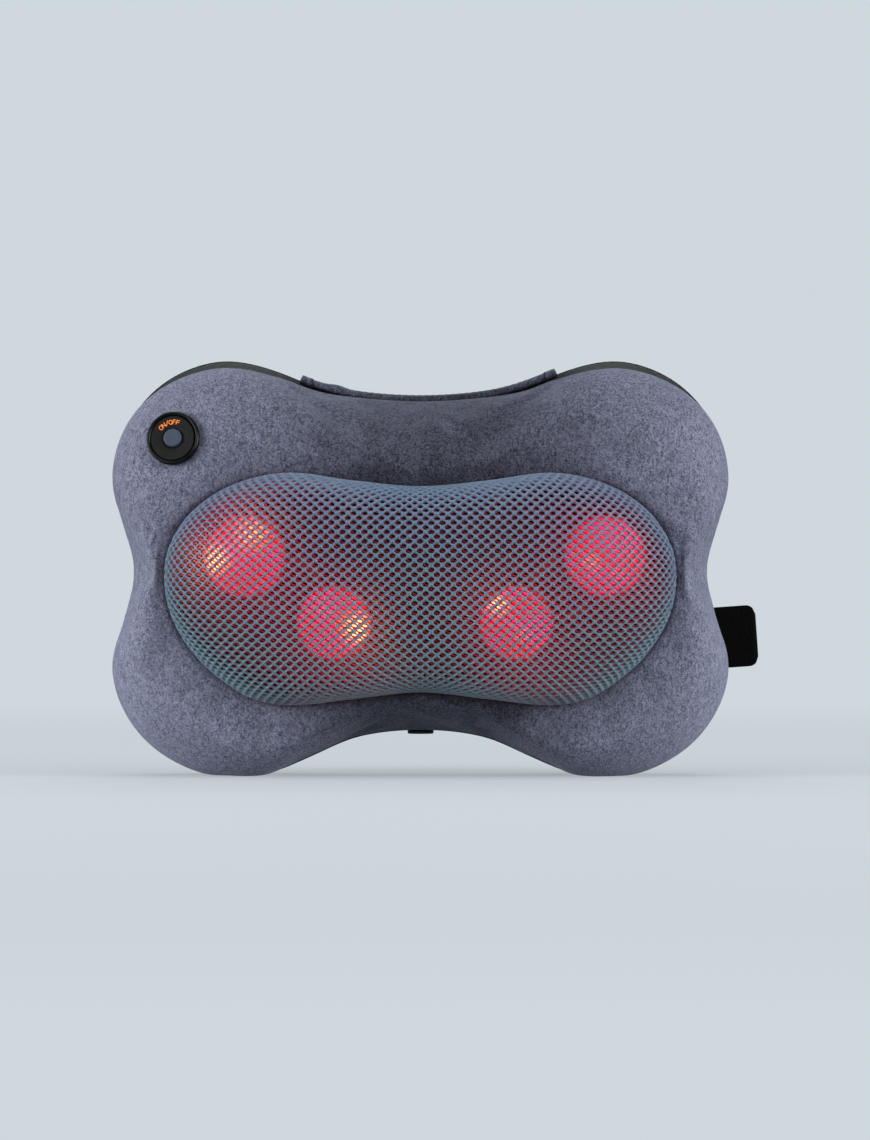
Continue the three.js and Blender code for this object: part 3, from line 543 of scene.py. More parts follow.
def head_material():
    """Red translucent domes that glow with painted lamp light, brighter and more orange at the
    painted lamp spots.
    """
    s = Shader("lit_red_dome")
    painted_lamp_spots = s.add("Attribute", attribute_name="painted_lamp_spot").outputs["Fac"]
    glow = s.add("Attribute", attribute_name="lamp_glow").outputs["Fac"]
    grain = s.noise(2.5, 2)
    painted_spot_glow = s.times(painted_lamp_spots, s.span(grain, 0.3, 0.7, 0.75, 1.2))
    red = s.mix(s.span(s.noise(14, 1), 0.4, 0.6), (1.0, 0.008, 0.028, 1), (1.0, 0.018, 0.11, 1))
    color = s.mix(s.span(painted_spot_glow, 0.15, 0.9), red, (1.0, 0.40, 0.11, 1))
    # Painted glow: the dome itself emits the light of the lamps inside it.
    power = s.times(glow, s.span(painted_spot_glow, 0.0, 1.0, 2.2, 6.5))
    return s.set(
        Base_Color=(0.35, 0.006, 0.02, 1),
        Roughness=0.3,
        Emission_Color=color,
        Emission_Strength=power,
    )


def board_material():
    s = Shader("circuit_board_mask")
    tracks = s.math("GREATER_THAN", s.ribs(2.2, "X"), 0.82)
    cross = s.math("GREATER_THAN", s.ribs(3.1, "Z"), 0.88)
    both = s.math("MAXIMUM", tracks, cross)
    color = s.mix(both, (0.01, 0.09, 0.035, 1), (0.03, 0.22, 0.09, 1))
    return s.set(Base_Color=color, Roughness=0.35, Normal=s.bump(both, 0.2, 0.05))


def orange_material():
    s = Shader("orange_print_painted_glow")
    worn = s.span(s.noise(0.8, 2), 0.35, 0.6)
    return s.set(
        Base_Color=s.mix(worn, srgb(226, 116, 40), srgb(255, 156, 70)),
        Roughness=0.5,
        # The print has a painted glow: it shines as if lit, though it is no lamp.
        Emission_Color=srgb(255, 138, 52),
        Emission_Strength=0.35,
    )


PLUSH = plush_material()
MESH = mesh_material(
    "air_mesh_yarn", srgb(60, 92, 146), srgb(56, 124, 136), srgb(116, 168, 182), 0.24
)
MESH_BACK = mesh_material(
    "air_mesh_backing_yarn", srgb(14, 24, 50), srgb(12, 36, 48), srgb(30, 56, 70), 0.5
)
KNIT = knit_material("gusset_knit", srgb(13, 15, 15), srgb(36, 41, 41))
BACK_KNIT = knit_material("back_knit", srgb(34, 36, 40), srgb(66, 69, 76), 1.4)
WEB = webbing_material("black_webbing", srgb(1, 1, 2))
TAPE = webbing_material("zip_tape_weave", srgb(9, 9, 11), 0.9, "Z")
COIL = plastic_material("zip_coil_nylon", srgb(74, 76, 84), 0.38)
PIPE = webbing_material("piping_weave", srgb(16, 16, 19), 0.8, "Z")
LINT = knit_material("hook_pile", srgb(1, 1, 2), srgb(7, 7, 8), 0.9, 0.0)
THREAD = plastic_material("sewing_thread", srgb(58, 60, 78), 0.7, 0.2)
DARK_THREAD = plastic_material("dark_thread", srgb(24, 24, 28), 0.7, 0.2)
FOAM = foam_material()
BLACK = plastic_material("satin_black_plastic", srgb(17, 17, 20), 0.42)
FACE = plastic_material("button_face_plastic", srgb(7, 7, 8), 0.7, 0.25, specular=0.3)
GLOSS = plastic_material("gloss_black_plastic", srgb(2, 2, 3), 0.3, 0.3, specular=0.22)
SLATE = plastic_material("slate_rubber_plastic", srgb(50, 64, 82), 0.6, 0.3)
NYLON = plastic_material("white_nylon", srgb(224, 220, 206), 0.45)
STEEL = metal_material("machined_steel", (0.55, 0.56, 0.58, 1), 0.32, (1, 6, 1))
CHROME = metal_material("zip_nickel", (0.42, 0.42, 0.44, 1), 0.25)
BRONZE = metal_material("sintered_bronze", (0.55, 0.36, 0.18, 1), 0.45)
HEAD = head_material()
BOARD = board_material()
ORANGE = orange_material()
SHEATH = plastic_material("lead_sheath_rubber", srgb(20, 20, 22), 0.6)


def finish_piece(piece, material, node=None, body="pillow"):
    """Gives the piece its material and body, and hides the CAD node that it stands for."""
    piece.data.materials.clear()
    piece.data.materials.append(material)
    if node:
        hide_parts(node)
    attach(piece, body)


def cad_finish(material, *nodes):
    for name in nodes:
        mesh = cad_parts[name].data
        mesh.materials.clear()
        mesh.materials.append(material)


BACKWARD, UPWARD = (0, 1, 0), (0, 0, 1)
STITCH = [(-1, 0.0), (-0.7, 0.8), (0, 1.0), (0.7, 0.8), (1, 0.0)]  # along it, and how thick


def stitches(name, line, up, thread, size, gap=1.0, wrap=False):
    """A row of stitches along points in metres. size is their length, width and height."""
    length, width, height = size
    line = np.asarray(line, float)
    up = np.broadcast_to(np.asarray(up, float), line.shape)
    if wrap:
        line, up = np.vstack([line, line[:1]]), np.vstack([up, up[:1]])
    run = np.concatenate([[0], np.cumsum(np.linalg.norm(np.diff(line, axis=0), axis=1))]) / MM

    def on_row(values, at):
        return np.array([np.interp(at, run, values[:, k]) for k in range(3)])

    points, faces = [], []
    for middle in np.arange(length / 2 + gap, run[-1] - length / 2, length + gap):
        faces += grid_faces(len(STITCH), 6, False, True, len(points))
        for along, thick in STITCH:
            at = middle + along * length / 2
            centre, outward = on_row(line, at), on_row(up, at)
            side = np.cross(on_row(line, at + 0.4) - on_row(line, at - 0.4), outward)
            side /= max(np.linalg.norm(side), 1e-12)
            for turn in angles(6):
                offset = side * math.cos(turn) * width * (0.35 + 0.65 * thick)
                offset += outward * (math.sin(turn) * height * thick - (1 - thick) * 0.3)
                points.append(centre + offset * MM)
    finish_piece(new_object(name, points, faces), thread)


# ---- soft goods ----


def cover_curve(angle, share):
    """Radius and depth of the front cover at shares of the way from its seam to the window."""
    out = np.maximum(0, np.cos(share * math.pi / 2)) ** (2 / ROUNDNESS)
    up = np.sin(share * math.pi / 2) ** (2 / ROUNDNESS)
    inner = window_radius(angle)
    radius = inner + (cover_radius(angle) - inner) * out
    depth = SEAM + (LIP - SEAM) * up
    return on_floor(radius, angle), depth


def lumps(angle, depth):
    """Slow unevenness of hand-filled padding, in millimetres."""
    waves = ((3, 0.4, 0.05), (7, 1.9, 0.11), (11, 0.7, 0.07), (17, 2.6, 0.13), (26, 4.1, 0.09))
    total = 0
    for count, phase, along in waves:
        total = total + np.sin(count * angle + phase + depth * along) / count**0.6
    return 0.55 * total


ROLL_START, ROLL_DROP = 0.86, 3.4  # where the plush starts to roll in, and how far it drops


def front_cover():
    steps, rows = 240, 26
    angle = angles(steps)[None, :]
    share = np.linspace(0, 1, rows)[:, None] ** 0.9
    radius, depth = cover_curve(angle, share)
    depth = depth + lumps(angle, 60.0) * np.sin(share * math.pi) ** 0.8
    # The last rows roll down into the window's seam.
    depth = depth - ROLL_DROP * between(share, ROLL_START, 1) ** 2
    sheet = skin("plush_cover", around(angle, radius, depth), wrap_columns=True)
    pinned = [*range(2 * steps), *range((rows - 2) * steps, rows * steps)]
    cloth_puff(sheet, pinned)
    body = np.array([v.co for v in sheet.data.vertices]).reshape(rows, steps, 3)
    body[:, :, 2] = np.maximum(body[:, :, 2], 0.0)
    bpy.data.objects.remove(sheet)
    seam_radius, seam_depth = cover_curve(angle, np.zeros((1, 1)))
    inner = window_radius(angle)
    hems = [
        around(angle, seam_radius - 5.5, seam_depth + 0.6),
        around(angle, seam_radius - 1.6, seam_depth - 0.5),
        around(angle, inner - 0.6, LIP - 6.0),
        around(angle, inner + 1.2, LIP - 9.5),
    ]
    points = np.concatenate([*hems[:2], body, *hems[2:]])
    piece = skin("plush_cover", points, wrap_columns=True)
    dent_for_button(piece)
    subdivide(piece)
    finish_piece(piece, PLUSH, "front_cover")


BUTTON_PLACE = (-130.2, 68.6, BODY_Z + 68.8)  # x, depth and z of the button's middle
BUTTON_TURN, BUTTON_LEAN = math.radians(-13), math.radians(-10)
SEAT_INNER, SEAT_OUTER = 13.5, 26  # radii of its flat seat in the plush and of the slope round it
SEAT_HEIGHT, SEAT_REACH = -1.0, -14  # of the seat, and of the lowest plush that it presses


def button_matrix():
    tilt = Matrix.Rotation(BUTTON_TURN, 4, "Z") @ Matrix.Rotation(BUTTON_LEAN, 4, "X")
    return Matrix.Translation(Vector(place(*BUTTON_PLACE))) @ tilt


def dent_for_button(piece):
    """Presses the plush to a flat seat under the button's flange."""
    to_button = button_matrix().inverted()
    back = button_matrix()
    for vertex in piece.data.vertices:
        local = to_button @ vertex.co
        across, height = math.hypot(local.x, local.z) / MM, -local.y / MM
        if across > SEAT_OUTER or height < SEAT_REACH:
            continue
        ease = eased(between(across, SEAT_INNER, SEAT_OUTER))
        local.y = -(SEAT_HEIGHT + (height - SEAT_HEIGHT) * ease) * MM
        vertex.co = back @ local
    piece.data.update()


def side_gusset():
    angle = angles(480)[None, :]
    share = np.linspace(0, 1, 15)[:, None]
    depth = BAND_REAR - 0.6 + (BAND_FRONT + 0.4 - BAND_REAR) * share
    slope = eased(between(depth, BAND_BEND - 4, BAND_FRONT))
    front = on_floor(cover_radius(angle), angle)
    rear = rear_radius(angle)
    sag = 0.9 * np.sin(share * math.pi)
    pucker = 0.22 * np.sin(angle * 170 + 2 * np.sin(angle * 9)) * (np.abs(share - 0.5) * 2) ** 3
    radius = rear + (front - rear) * slope - sag + pucker - 0.15 * lumps(angle * 2, depth)
    radius = np.minimum(radius, floor_radius(angle))
    outer = around(angle, radius, depth)
    lining = around(angle, radius[::-1] - 2, depth[::-1])
    piece = skin("knit_gusset", np.concatenate([outer, lining]), True, True)
    finish_piece(piece, KNIT, "side_band")
    out = np.stack([np.cos(angle[0]), 0 * angle[0], np.sin(angle[0])], axis=-1)
    for name, row in (("front", -2), ("rear", 1)):
        line = outer[row] + out * 0.02 * MM
        stitches(f"gusset_stitches_{name}", line, out, DARK_THREAD, (2.4, 0.3, 0.15), wrap=True)


def rear_piping():
    angle = angles(360)[:, None]
    turn = angles(14)[None, :]
    middle = on_floor(loose_radius(angle) + 0.7, angle) - PIPING
    points = around(angle, middle + PIPING * np.cos(turn), 2 + PIPING * np.sin(turn))
    piece = skin("rear_piping_cord", points, True, True, flip=True)
    finish_piece(piece, PIPE, "rear_piping")


PANEL_DEPTH = 0.15
ZIP_Z, ZIP_HALF, SLOT_HALF = BODY_Z + 44, 103, 4.5


def back_cover():
    """The knit back panel: flat where it lies, pulled in to the piping, open along the zip."""
    steps = 240
    angle = angles(steps)[None, :]
    shares = [0.04, 0.2, 0.35, 0.5, 0.62, 0.72, 0.8, 0.87, 0.92, 0.96, 0.985, 1.0]
    middle = len(shares) * steps
    faces = grid_faces(len(shares), steps, False, True)
    faces += [(middle, (j + 1) % steps, j) for j in range(steps)]
    shares = np.array(shares)[:, None]
    radius = (rear_radius(angle) - 2 * PIPING + 0.4) * shares
    pull = between(shares, 0.9, 1) ** 2
    pucker = 0.25 * np.sin(angle * 64) * between(shares, 0.85, 1)
    depth = PANEL_DEPTH + 2.0 * pull + pucker * (1 - pull * 0.5)
    points = around(angle, radius, depth).reshape(-1, 3)
    points = np.vstack([points, around(0.0, 0.0, PANEL_DEPTH)])
    piece = new_object("knit_back", points, faces)
    thickness = piece.modifiers.new("Thickness", "SOLIDIFY")
    thickness.thickness = 1.4 * MM
    thickness.offset = 0
    cutter = slot_cutter()
    cut = piece.modifiers.new("Slot", "BOOLEAN")
    cut.object = cutter
    cut.operation = "DIFFERENCE"
    apply_modifiers(piece)
    bpy.data.objects.remove(cutter)
    smooth_below(piece, 50)
    finish_piece(piece, BACK_KNIT, "back_panel")
    zip_stitches()


def slot_cutter():
    corners = [
        place(side_x * ZIP_HALF, depth, ZIP_Z + side_z * SLOT_HALF)
        for depth in (-4, 6)
        for side_x, side_z in ((-1, -1), (1, -1), (1, 1), (-1, 1))
    ]
    faces = [(3, 2, 1, 0), (4, 5, 6, 7), (1, 5, 4, 0), (2, 6, 5, 1), (3, 7, 6, 2), (0, 4, 7, 3)]
    return new_object("slot_cutter", corners, faces, smooth=False)


def zip_stitches():
    xs = np.linspace(-ZIP_HALF, ZIP_HALF, 60)
    for name, side in (("upper", 1), ("lower", -1)):
        line = place(xs, -0.65, ZIP_Z + side * (SLOT_HALF + 2.2))
        stitches(f"zip_stitches_{name}", line, BACKWARD, THREAD, (2.6, 0.35, 0.25))


def lattice_surface(u, v, lift):
    """Points of the mesh window's fabric, from its flat pattern's u and v, lifted by lift."""
    delta = 0.05
    here = fabric_point(u, v)
    along = fabric_point(u + delta, v) - here
    up = fabric_point(u, v + delta) - here
    normal = np.cross(along, up)
    normal /= np.maximum(np.linalg.norm(normal, axis=-1, keepdims=True), 1e-12)
    return here + normal * lift * MM


def dome_depth(x, z, share):
    """Depth of the mesh window at x and z, at a share of the way out to its edge."""
    dip = 1 - MESH_DIP * np.exp(-(((x - MECH_X) / MESH_DIP_WIDTH) ** 2))
    rise = MESH_RISE * dip * np.sqrt(np.clip(1 - np.clip(share, 0, 1) ** 4, 0, 1))
    bumps = 0
    for _, head_x, head_z, radius, _, _ in HEADS:
        away = (x - head_x) ** 2 + (z - head_z) ** 2
        bumps = bumps + np.exp(-away / (2 * (radius * 0.58) ** 2))
    rise = rise + MESH_SUNK * np.clip(1 - share**6, 0, 1)
    return LIP - MESH_SUNK + rise + HEAD_BUMP * bumps * np.clip(1 - share**8, 0, 1)


def dome_edge(angle):
    return window_radius(angle) + 0.4


def window_table(steps=240, samples=97):
    """For each angle, the share of the way out at equal shares of the fabric's length."""
    angle = angles(steps)[:, None]
    share = np.linspace(0, 1, samples)[None, :] ** 0.8
    radius = dome_edge(angle) * share
    depth = dome_depth(radius * np.cos(angle), POLE_Z + radius * np.sin(angle), share)
    run = np.hypot(np.diff(radius, axis=1), np.diff(depth, axis=1))
    length = np.concatenate([np.zeros((steps, 1)), np.cumsum(run, axis=1)], axis=1)
    even = np.linspace(0, 1, samples)
    table = np.array([np.interp(even * row[-1], row, share[0]) for row in length])
    return table, length[:, -1]


TABLE, FABRIC_LENGTH = window_table()


def fabric_point(u, v):
    """The place of a point of the flat pattern, once it lies over the dome."""
    steps, samples = TABLE.shape
    angle, run = np.arctan2(v, u), np.hypot(u, v)
    column = (angle % TURN) / TURN * steps
    low = np.floor(column).astype(int) % steps
    high, share = (low + 1) % steps, column - np.floor(column)
    total = FABRIC_LENGTH[low] * (1 - share) + FABRIC_LENGTH[high] * share
    beyond = np.maximum(run - total, 0)
    along = np.clip(run / total, 0, 1) * (samples - 1)
    k = np.minimum(np.floor(along).astype(int), samples - 2)
    t = along - k
    lower = TABLE[low, k] * (1 - t) + TABLE[low, k + 1] * t
    upper = TABLE[high, k] * (1 - t) + TABLE[high, k + 1] * t
    out = lower * (1 - share) + upper * share
    radius = out * dome_edge(angle)
    x, z = radius * np.cos(angle), POLE_Z + radius * np.sin(angle)
    return place(x, dome_depth(x, z, out) - beyond, z)


HOLE_PITCH, ROW_PITCH = 5.8, 2.5  # of the mesh's holes, along a row and from row to row
HEM = 4.0  # how far the mesh runs on below the plush


def lattice_cells(shift):
    """Flat places of the mesh's holes; shift moves the whole lattice sideways and up."""
    longest = FABRIC_LENGTH.max() + HOLE_PITCH
    rows, columns = int(longest / ROW_PITCH) + 2, int(longest / HOLE_PITCH) + 2
    j, i = np.meshgrid(np.arange(-rows, rows + 1), np.arange(-columns, columns + 1))
    u = (i + (j % 2) / 2) * HOLE_PITCH + shift[0]
    v = j * ROW_PITCH + shift[1]
    limit = np.interp(np.arctan2(v, u), angles(len(FABRIC_LENGTH)), FABRIC_LENGTH, period=TURN)
    inside = np.hypot(u, v) < limit + HEM
    return np.stack([u[inside], v[inside]], axis=-1)[:, None, :]


def net(name, shift, hole, sides, lifts, material):
    """A staggered lattice of oval holes. lifts are the yarn's heights from rim to hole."""
    corners = [(HOLE_PITCH / 2, 0), (0, ROW_PITCH), (-HOLE_PITCH / 2, 0), (0, -ROW_PITCH)]
    corners = np.array(corners + corners[:1])
    at = np.arange(sides) * 4 / sides
    rim = np.stack([np.interp(at, np.arange(5), corners[:, k]) for k in (0, 1)], axis=-1)
    turn = angles(sides)
    ring = np.stack([hole[0] * np.cos(turn), hole[1] * np.sin(turn)], axis=-1)
    shares = np.linspace(0, 1, len(lifts) - 1) ** 0.8
    layers = [rim + (ring - rim) * share for share in shares] + [ring * 0.97]
    centres = lattice_cells(shift)
    points = []
    for offsets, lift in zip(layers, lifts):
        flat = centres + offsets[None, :, :]
        points.append(lattice_surface(flat[..., 0], flat[..., 1], lift))
    faces = []
    for k in range(len(centres)):
        faces += grid_faces(len(layers), sides, False, True, k * len(layers) * sides)
    piece = new_object(name, np.stack(points, axis=1), faces)
    weld(piece, 0.04)
    apply_modifiers(piece)
    piece.data.shade_smooth()
    finish_piece(piece, material)
    return piece


def air_mesh():
    """Knitted spacer mesh: a face net of rounded yarns over a plainer net behind it."""
    face = net("air_mesh_face", (0, 0), (1.78, 1.22), 12, (0.0, -0.14, -0.75, -1.5), MESH)
    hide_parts("mesh_panel")
    shift = (HOLE_PITCH * 0.2, ROW_PITCH * 0.45)
    net("air_mesh_backing", shift, (1.9, 1.3), 8, (-2.0, -2.1, -2.3), MESH_BACK)


# ---- handle, strap and zip ----


def top_height(x):
    """Height of the side band's top at x, in its hollow between the upper lobes."""
    angle = np.linspace(math.radians(30), math.radians(150), 400)
    radius = rear_radius(angle)
    line_x, line_z = radius * np.cos(angle), POLE_Z + radius * np.sin(angle)
    order = np.argsort(line_x)
    return np.interp(x, line_x[order], line_z[order])


HANDLE_X, HANDLE_HALF = 4.3, 68.5
HANDLE_DEPTHS = (7, 32.4)


def flat_ring(sides, width, thickness, corner):
    """Across and up, round a flat band's section. A smaller corner is a sharper one."""
    turn = angles(sides)[None, :]
    x, y = np.cos(turn), np.sin(turn)
    across = np.sign(x) * np.abs(x) ** corner * width / 2
    return across, np.sign(y) * np.abs(y) ** 0.6 * thickness / 2


def band_over_top(name, ends, low, high, depths, steps, end_drop=0.0, hump=0.0, lean=0.0):
    """A flat band across the top, low to high above the side band, with rounded edges."""
    xs = np.linspace(*ends, steps)[:, None]
    across, up = flat_ring(36, depths[1] - depths[0], high - low, 0.3)
    near_end = np.minimum(xs - ends[0], ends[1] - xs)
    drop = end_drop * np.exp(-near_end / 1.6)
    rise = hump * np.exp(-(((xs - ends[0] - 15) / 5) ** 2)) * (up > 0)
    above = up + (high - low) / 2
    z = top_height(xs) + low + above - drop + rise
    piece = tube(name, place(xs + lean * above, sum(depths) / 2 + across, z))
    piece.data.set_sharp_from_angle(angle=math.radians(60))
    return piece


def carry_band():
    ends = (HANDLE_X - HANDLE_HALF + 5, HANDLE_X + HANDLE_HALF - 5)
    piece = band_over_top("carry_band", ends, -0.9, 3.4, HANDLE_DEPTHS, 70, 0.6, 1.1)
    finish_piece(piece, PLUSH, "top_handle")
    xs = np.linspace(ends[0] + 10, ends[1] - 10, 80)
    for name, depth in (("rear", 9.6), ("front", 29.8)):
        line = place(xs, depth, top_height(xs) + 3.32)
        stitches(f"band_stitches_{name}", line, UPWARD, THREAD, (2.6, 0.4, 0.12))
    depths = (HANDLE_DEPTHS[0] - 1, HANDLE_DEPTHS[1] + 1)
    for side, name in ((-1, "left"), (1, "right")):
        middle = HANDLE_X + side * (HANDLE_HALF - 2.5)
        ends = (middle - 3, middle + 3)
        lean = -0.5 * side
        tab = band_over_top(f"band_tab_{name}", ends, -0.8, 2.9, depths, 12, 0.2, 0.0, lean)
        finish_piece(tab, PLUSH, f"handle_tab_{name}")
        # A thin dark strip stands up in the gap between each tab and the band: painted shade for
        # the dark slit there.
        gap = middle - side * 3.9
        ends = (gap - 0.45, gap + 0.45)
        seam = band_over_top(f"band_gap_painted_shade_{name}", ends, -0.6, 3.65, depths, 4)
        finish_piece(seam, DARK_THREAD)


STRAP_Z, STRAP_WIDE, STRAP_THICK = BODY_Z - 38, 33, 1.6
STRAP_GAP = 0.3  # behind the back panel, and between the two layers
INNER_LAYER = -STRAP_GAP - STRAP_THICK / 2  # depths of the middles of the layers
OUTER_LAYER = INNER_LAYER - STRAP_THICK - STRAP_GAP


def ribbon(name, line, thickness, tilt=0.0, round_end=0.0):
    """A flat strap along a line of x and depth, its width along z, with soft selvedges."""
    line = np.asarray(line, float)
    run = np.concatenate([[0], np.cumsum(np.hypot(*np.diff(line, axis=0).T))])
    at = np.linspace(0, run[-1], max(24, int(run[-1] / 2.5)))[:, None]
    xs, depth = (np.interp(at, run, line[:, k]) for k in (0, 1))
    across, thick = flat_ring(32, STRAP_WIDE, thickness, 0.22)
    left = run[-1] - at
    if round_end:
        inside = np.clip(1 - left / round_end, 0, 1)
        trim = round_end * (1 - np.sqrt(np.clip(1 - inside**2, 0, 1)))
        across = across * (1 - 2 * trim / STRAP_WIDE)
    thin = np.clip(np.minimum(left, at) / 0.8 + 0.45, 0, 1)
    slope = math.tan(math.radians(tilt))
    z = STRAP_Z + across + (xs - line[0, 0]) * slope
    return tube(name, place(xs - across * slope, depth + thick * thin, z))


def rear_strap():
    path = [(-150, INNER_LAYER), (40, INNER_LAYER), (50.5, INNER_LAYER - 0.2)]
    path += [(57, OUTER_LAYER), (148.4, OUTER_LAYER)]
    long_strap = ribbon("strap_webbing_long", path, STRAP_THICK)
    finish_piece(long_strap, WEB, "strap_long")
    path = [(58, INNER_LAYER), (146, INNER_LAYER)]
    short_strap = ribbon("strap_webbing_short", path, STRAP_THICK)
    finish_piece(short_strap, WEB, "strap_short")
    box_stitches("strap_stitches_left", -146, -118, INNER_LAYER)
    box_stitches("strap_stitches_right", 62, 90, OUTER_LAYER)


def box_stitches(name, x0, x1, layer):
    """A sewn box with a cross in it, on the back of a layer of the strap."""
    z0, z1 = STRAP_Z - STRAP_WIDE / 2 + 4, STRAP_Z + STRAP_WIDE / 2 - 4
    corners = [(x0, z0), (x1, z0), (x1, z1), (x0, z1), (x0, z0), (x1, z1), (x1, z0), (x0, z1)]
    depth = layer - STRAP_THICK / 2 - 0.1
    points = []
    for (xa, za), (xb, zb) in zip(corners, corners[1:]):
        t = np.linspace(0, 1, 12, endpoint=False)
        points += [place(xa + (xb - xa) * s, depth, za + (zb - za) * s) for s in t]
    stitches(name, points, BACKWARD, THREAD, (2.4, 0.35, 0.3), 0.8)


def strap_end():
    line = [(148.8, OUTER_LAYER), (152, OUTER_LAYER + 0.1), (181.8, OUTER_LAYER + 0.1)]
    piece = ribbon("strap_end_tab", line, 2.2, 4.0, 5.0)
    piece.data.materials.append(LINT)
    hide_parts("strap_tab")
    start, end = place(148.5, OUTER_LAYER, STRAP_Z), place(152.5, OUTER_LAYER, STRAP_Z)
    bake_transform(piece)


def zip_parts():
    """A coil zip: two rows of meshed teeth, the slider and its pull."""
    pitch, half, sides = 1.6, ZIP_HALF + 0.8, 8
    profile = ((-1.5, 0.75), (-0.5, 1.0), (0.9, 0.85), (1.55, 0.5))
    points, faces = [], []
    for i in range(int(2 * half / pitch)):
        side = 1 if i % 2 else -1
        x = -half + (i + 0.5) * pitch
        base = len(points)
        for z, size in profile:
            for turn in angles(sides):
                at = x + 0.62 * size * math.cos(turn)
                depth = 1.8 - 1.35 * size * math.sin(turn)
                points.append(place(at, depth, ZIP_Z + side * z))
        last = len(points) - sides
        faces += grid_faces(len(profile), sides, False, True, base, flip=side < 0)
        faces += [tuple(range(base, base + sides)), tuple(range(last, last + sides))]
    finish_piece(new_object("zip_coil", points, faces), COIL, "zip_teeth")
    finish_piece(bevelled("zip_slider", 0.35), CHROME, body="zip_slider")
    finish_piece(bevelled("zip_pull", 0.25), CHROME, body="zip_pull")


# ---- power button and inlet ----


def power_controls():
    matrix = button_matrix()
    rim = 14.3
    bezel = [(8.7, -15), (10.4, -15), (10.4, -0.6), (rim, -0.6), (rim, 2.2), (rim - 0.6, 2.9)]
    bezel += [(rim - 1.3, 2.9), (rim - 2.0, 2.2), (rim - 2.1, 1.0), (8.7, 1.0), (8.7, -15)]
    piece = lathe("button_bezel_ring", rounded(bezel, 0.3), matrix, 96, 50)
    finish_piece(piece, GLOSS, "button_bezel")
    face = [(5.3, 1.3), (11.9, 1.3), (11.9, 2.0), (11.5, 2.25), (6.4, 1.9), (5.3, 1.6), (5.3, 1.3)]
    piece = lathe("button_face_plate", rounded(face, 0.15), matrix, 96, 50)
    finish_piece(piece, FACE, "button_face")
    cap = [(0, -4), (4.9, -4), (4.9, 3.0), (4.2, 3.5), (0, 3.2)]
    piece = lathe("power_button_cap", rounded(cap, 0.5, 4), matrix, 64, 50)
    finish_piece(piece, SLATE, "power_button", "power_button")
    power_marks(matrix)
    bezel_ticks(matrix)


def add_block(points, faces, corners, low, high):
    """Adds a block on four corners of x and z, from low to high, open underneath."""
    base = len(points)
    points += [(x * MM, -height * MM, z * MM) for height in (low, high) for x, z in corners]
    faces += grid_faces(2, 4, False, True, base)
    faces.append((base + 7, base + 6, base + 5, base + 4))


def on_button(name, points, faces, matrix, material):
    piece = new_object(name, points, faces, smooth=False)
    piece.data.transform(matrix)
    finish_piece(piece, material)


GLYPHS = {  # strokes in a box from -0.5 to 0.5
    "O": [[(0.42 * math.cos(t), 0.5 * math.sin(t)) for t in np.linspace(0, TURN, 15)]],
    "N": [[(-0.38, -0.5), (-0.38, 0.5), (0.38, -0.5), (0.38, 0.5)]],
    "F": [[(-0.32, -0.5), (-0.32, 0.5), (0.38, 0.5)], [(-0.32, 0.02), (0.28, 0.02)]],
    "/": [[(-0.3, -0.55), (0.3, 0.55)]],
}
GLYPH_SIZE, GLYPH_STROKE = 2.2, 0.17
GLYPH_PITCH, GLYPH_ARC = math.radians(13.4), 8.6


def power_marks(matrix):
    """The plain on and off marks, printed in an arc over the cap."""
    points, faces = [], []
    first = math.radians(107) + GLYPH_PITCH * 2.5
    for index, glyph in enumerate("ON/OFF"):
        turn = first - GLYPH_PITCH * index
        outward = np.array([math.cos(turn), math.sin(turn)])
        right = np.array([outward[1], -outward[0]])
        for line in GLYPHS[glyph]:
            for a, b in zip(line, line[1:]):
                a, b = np.array(a) * GLYPH_SIZE, np.array(b) * GLYPH_SIZE
                ahead = (b - a) / np.linalg.norm(b - a)
                side = np.array([-ahead[1], ahead[0]]) * GLYPH_STROKE
                ahead = ahead * 0.1
                corners = (a - ahead - side, b + ahead - side, b + ahead + side, a - ahead + side)
                corners = [outward * (GLYPH_ARC + z) + right * x for x, z in corners]
                add_block(points, faces, corners, 1.9, 2.32)
    on_button("power_marks", points, faces, matrix, ORANGE)


def bezel_ticks(matrix):
    """Short moulded ribs in the lower half of the bezel's groove."""
    inner, outer, half = 12.05, 12.3, 0.02  # radii, and half of a rib's angle
    points, faces = [], []
    for turn in np.radians(np.arange(200, 341, 10)):
        corners = ((inner, -half), (outer, -half), (outer, half), (inner, half))
        corners = [(r * math.cos(turn + lean), r * math.sin(turn + lean)) for r, lean in corners]
        add_block(points, faces, corners, 0.9, 1.9)
    on_button("bezel_ticks", points, faces, matrix, FACE)


def power_inlet():
    """The barrel socket with its pin, looking down from the bottom hollow."""
    socket = [(0, -0.5), (1.05, -0.4), (1.05, 9), (3.2, 9), (3.2, -2.2), (4.0, -2.4)]
    socket += [(6.6, -2.4), (7, -2.0), (7, -0.6), (5, -0.6), (5, 12), (0, 12)]
    profile = [(radius, -height) for radius, height in rounded(socket, 0.25)]
    origin = Vector(place(0, 14, BODY_Z + OUTLINE[-1][1]))
    matrix = Matrix.Translation(origin) @ Matrix.Rotation(math.radians(90), 4, "X")
    piece = lathe("power_inlet_socket", profile, matrix, 48, 40)
    finish_piece(piece, BLACK, "dc_jack")


# ---- massage heads and the drive ----


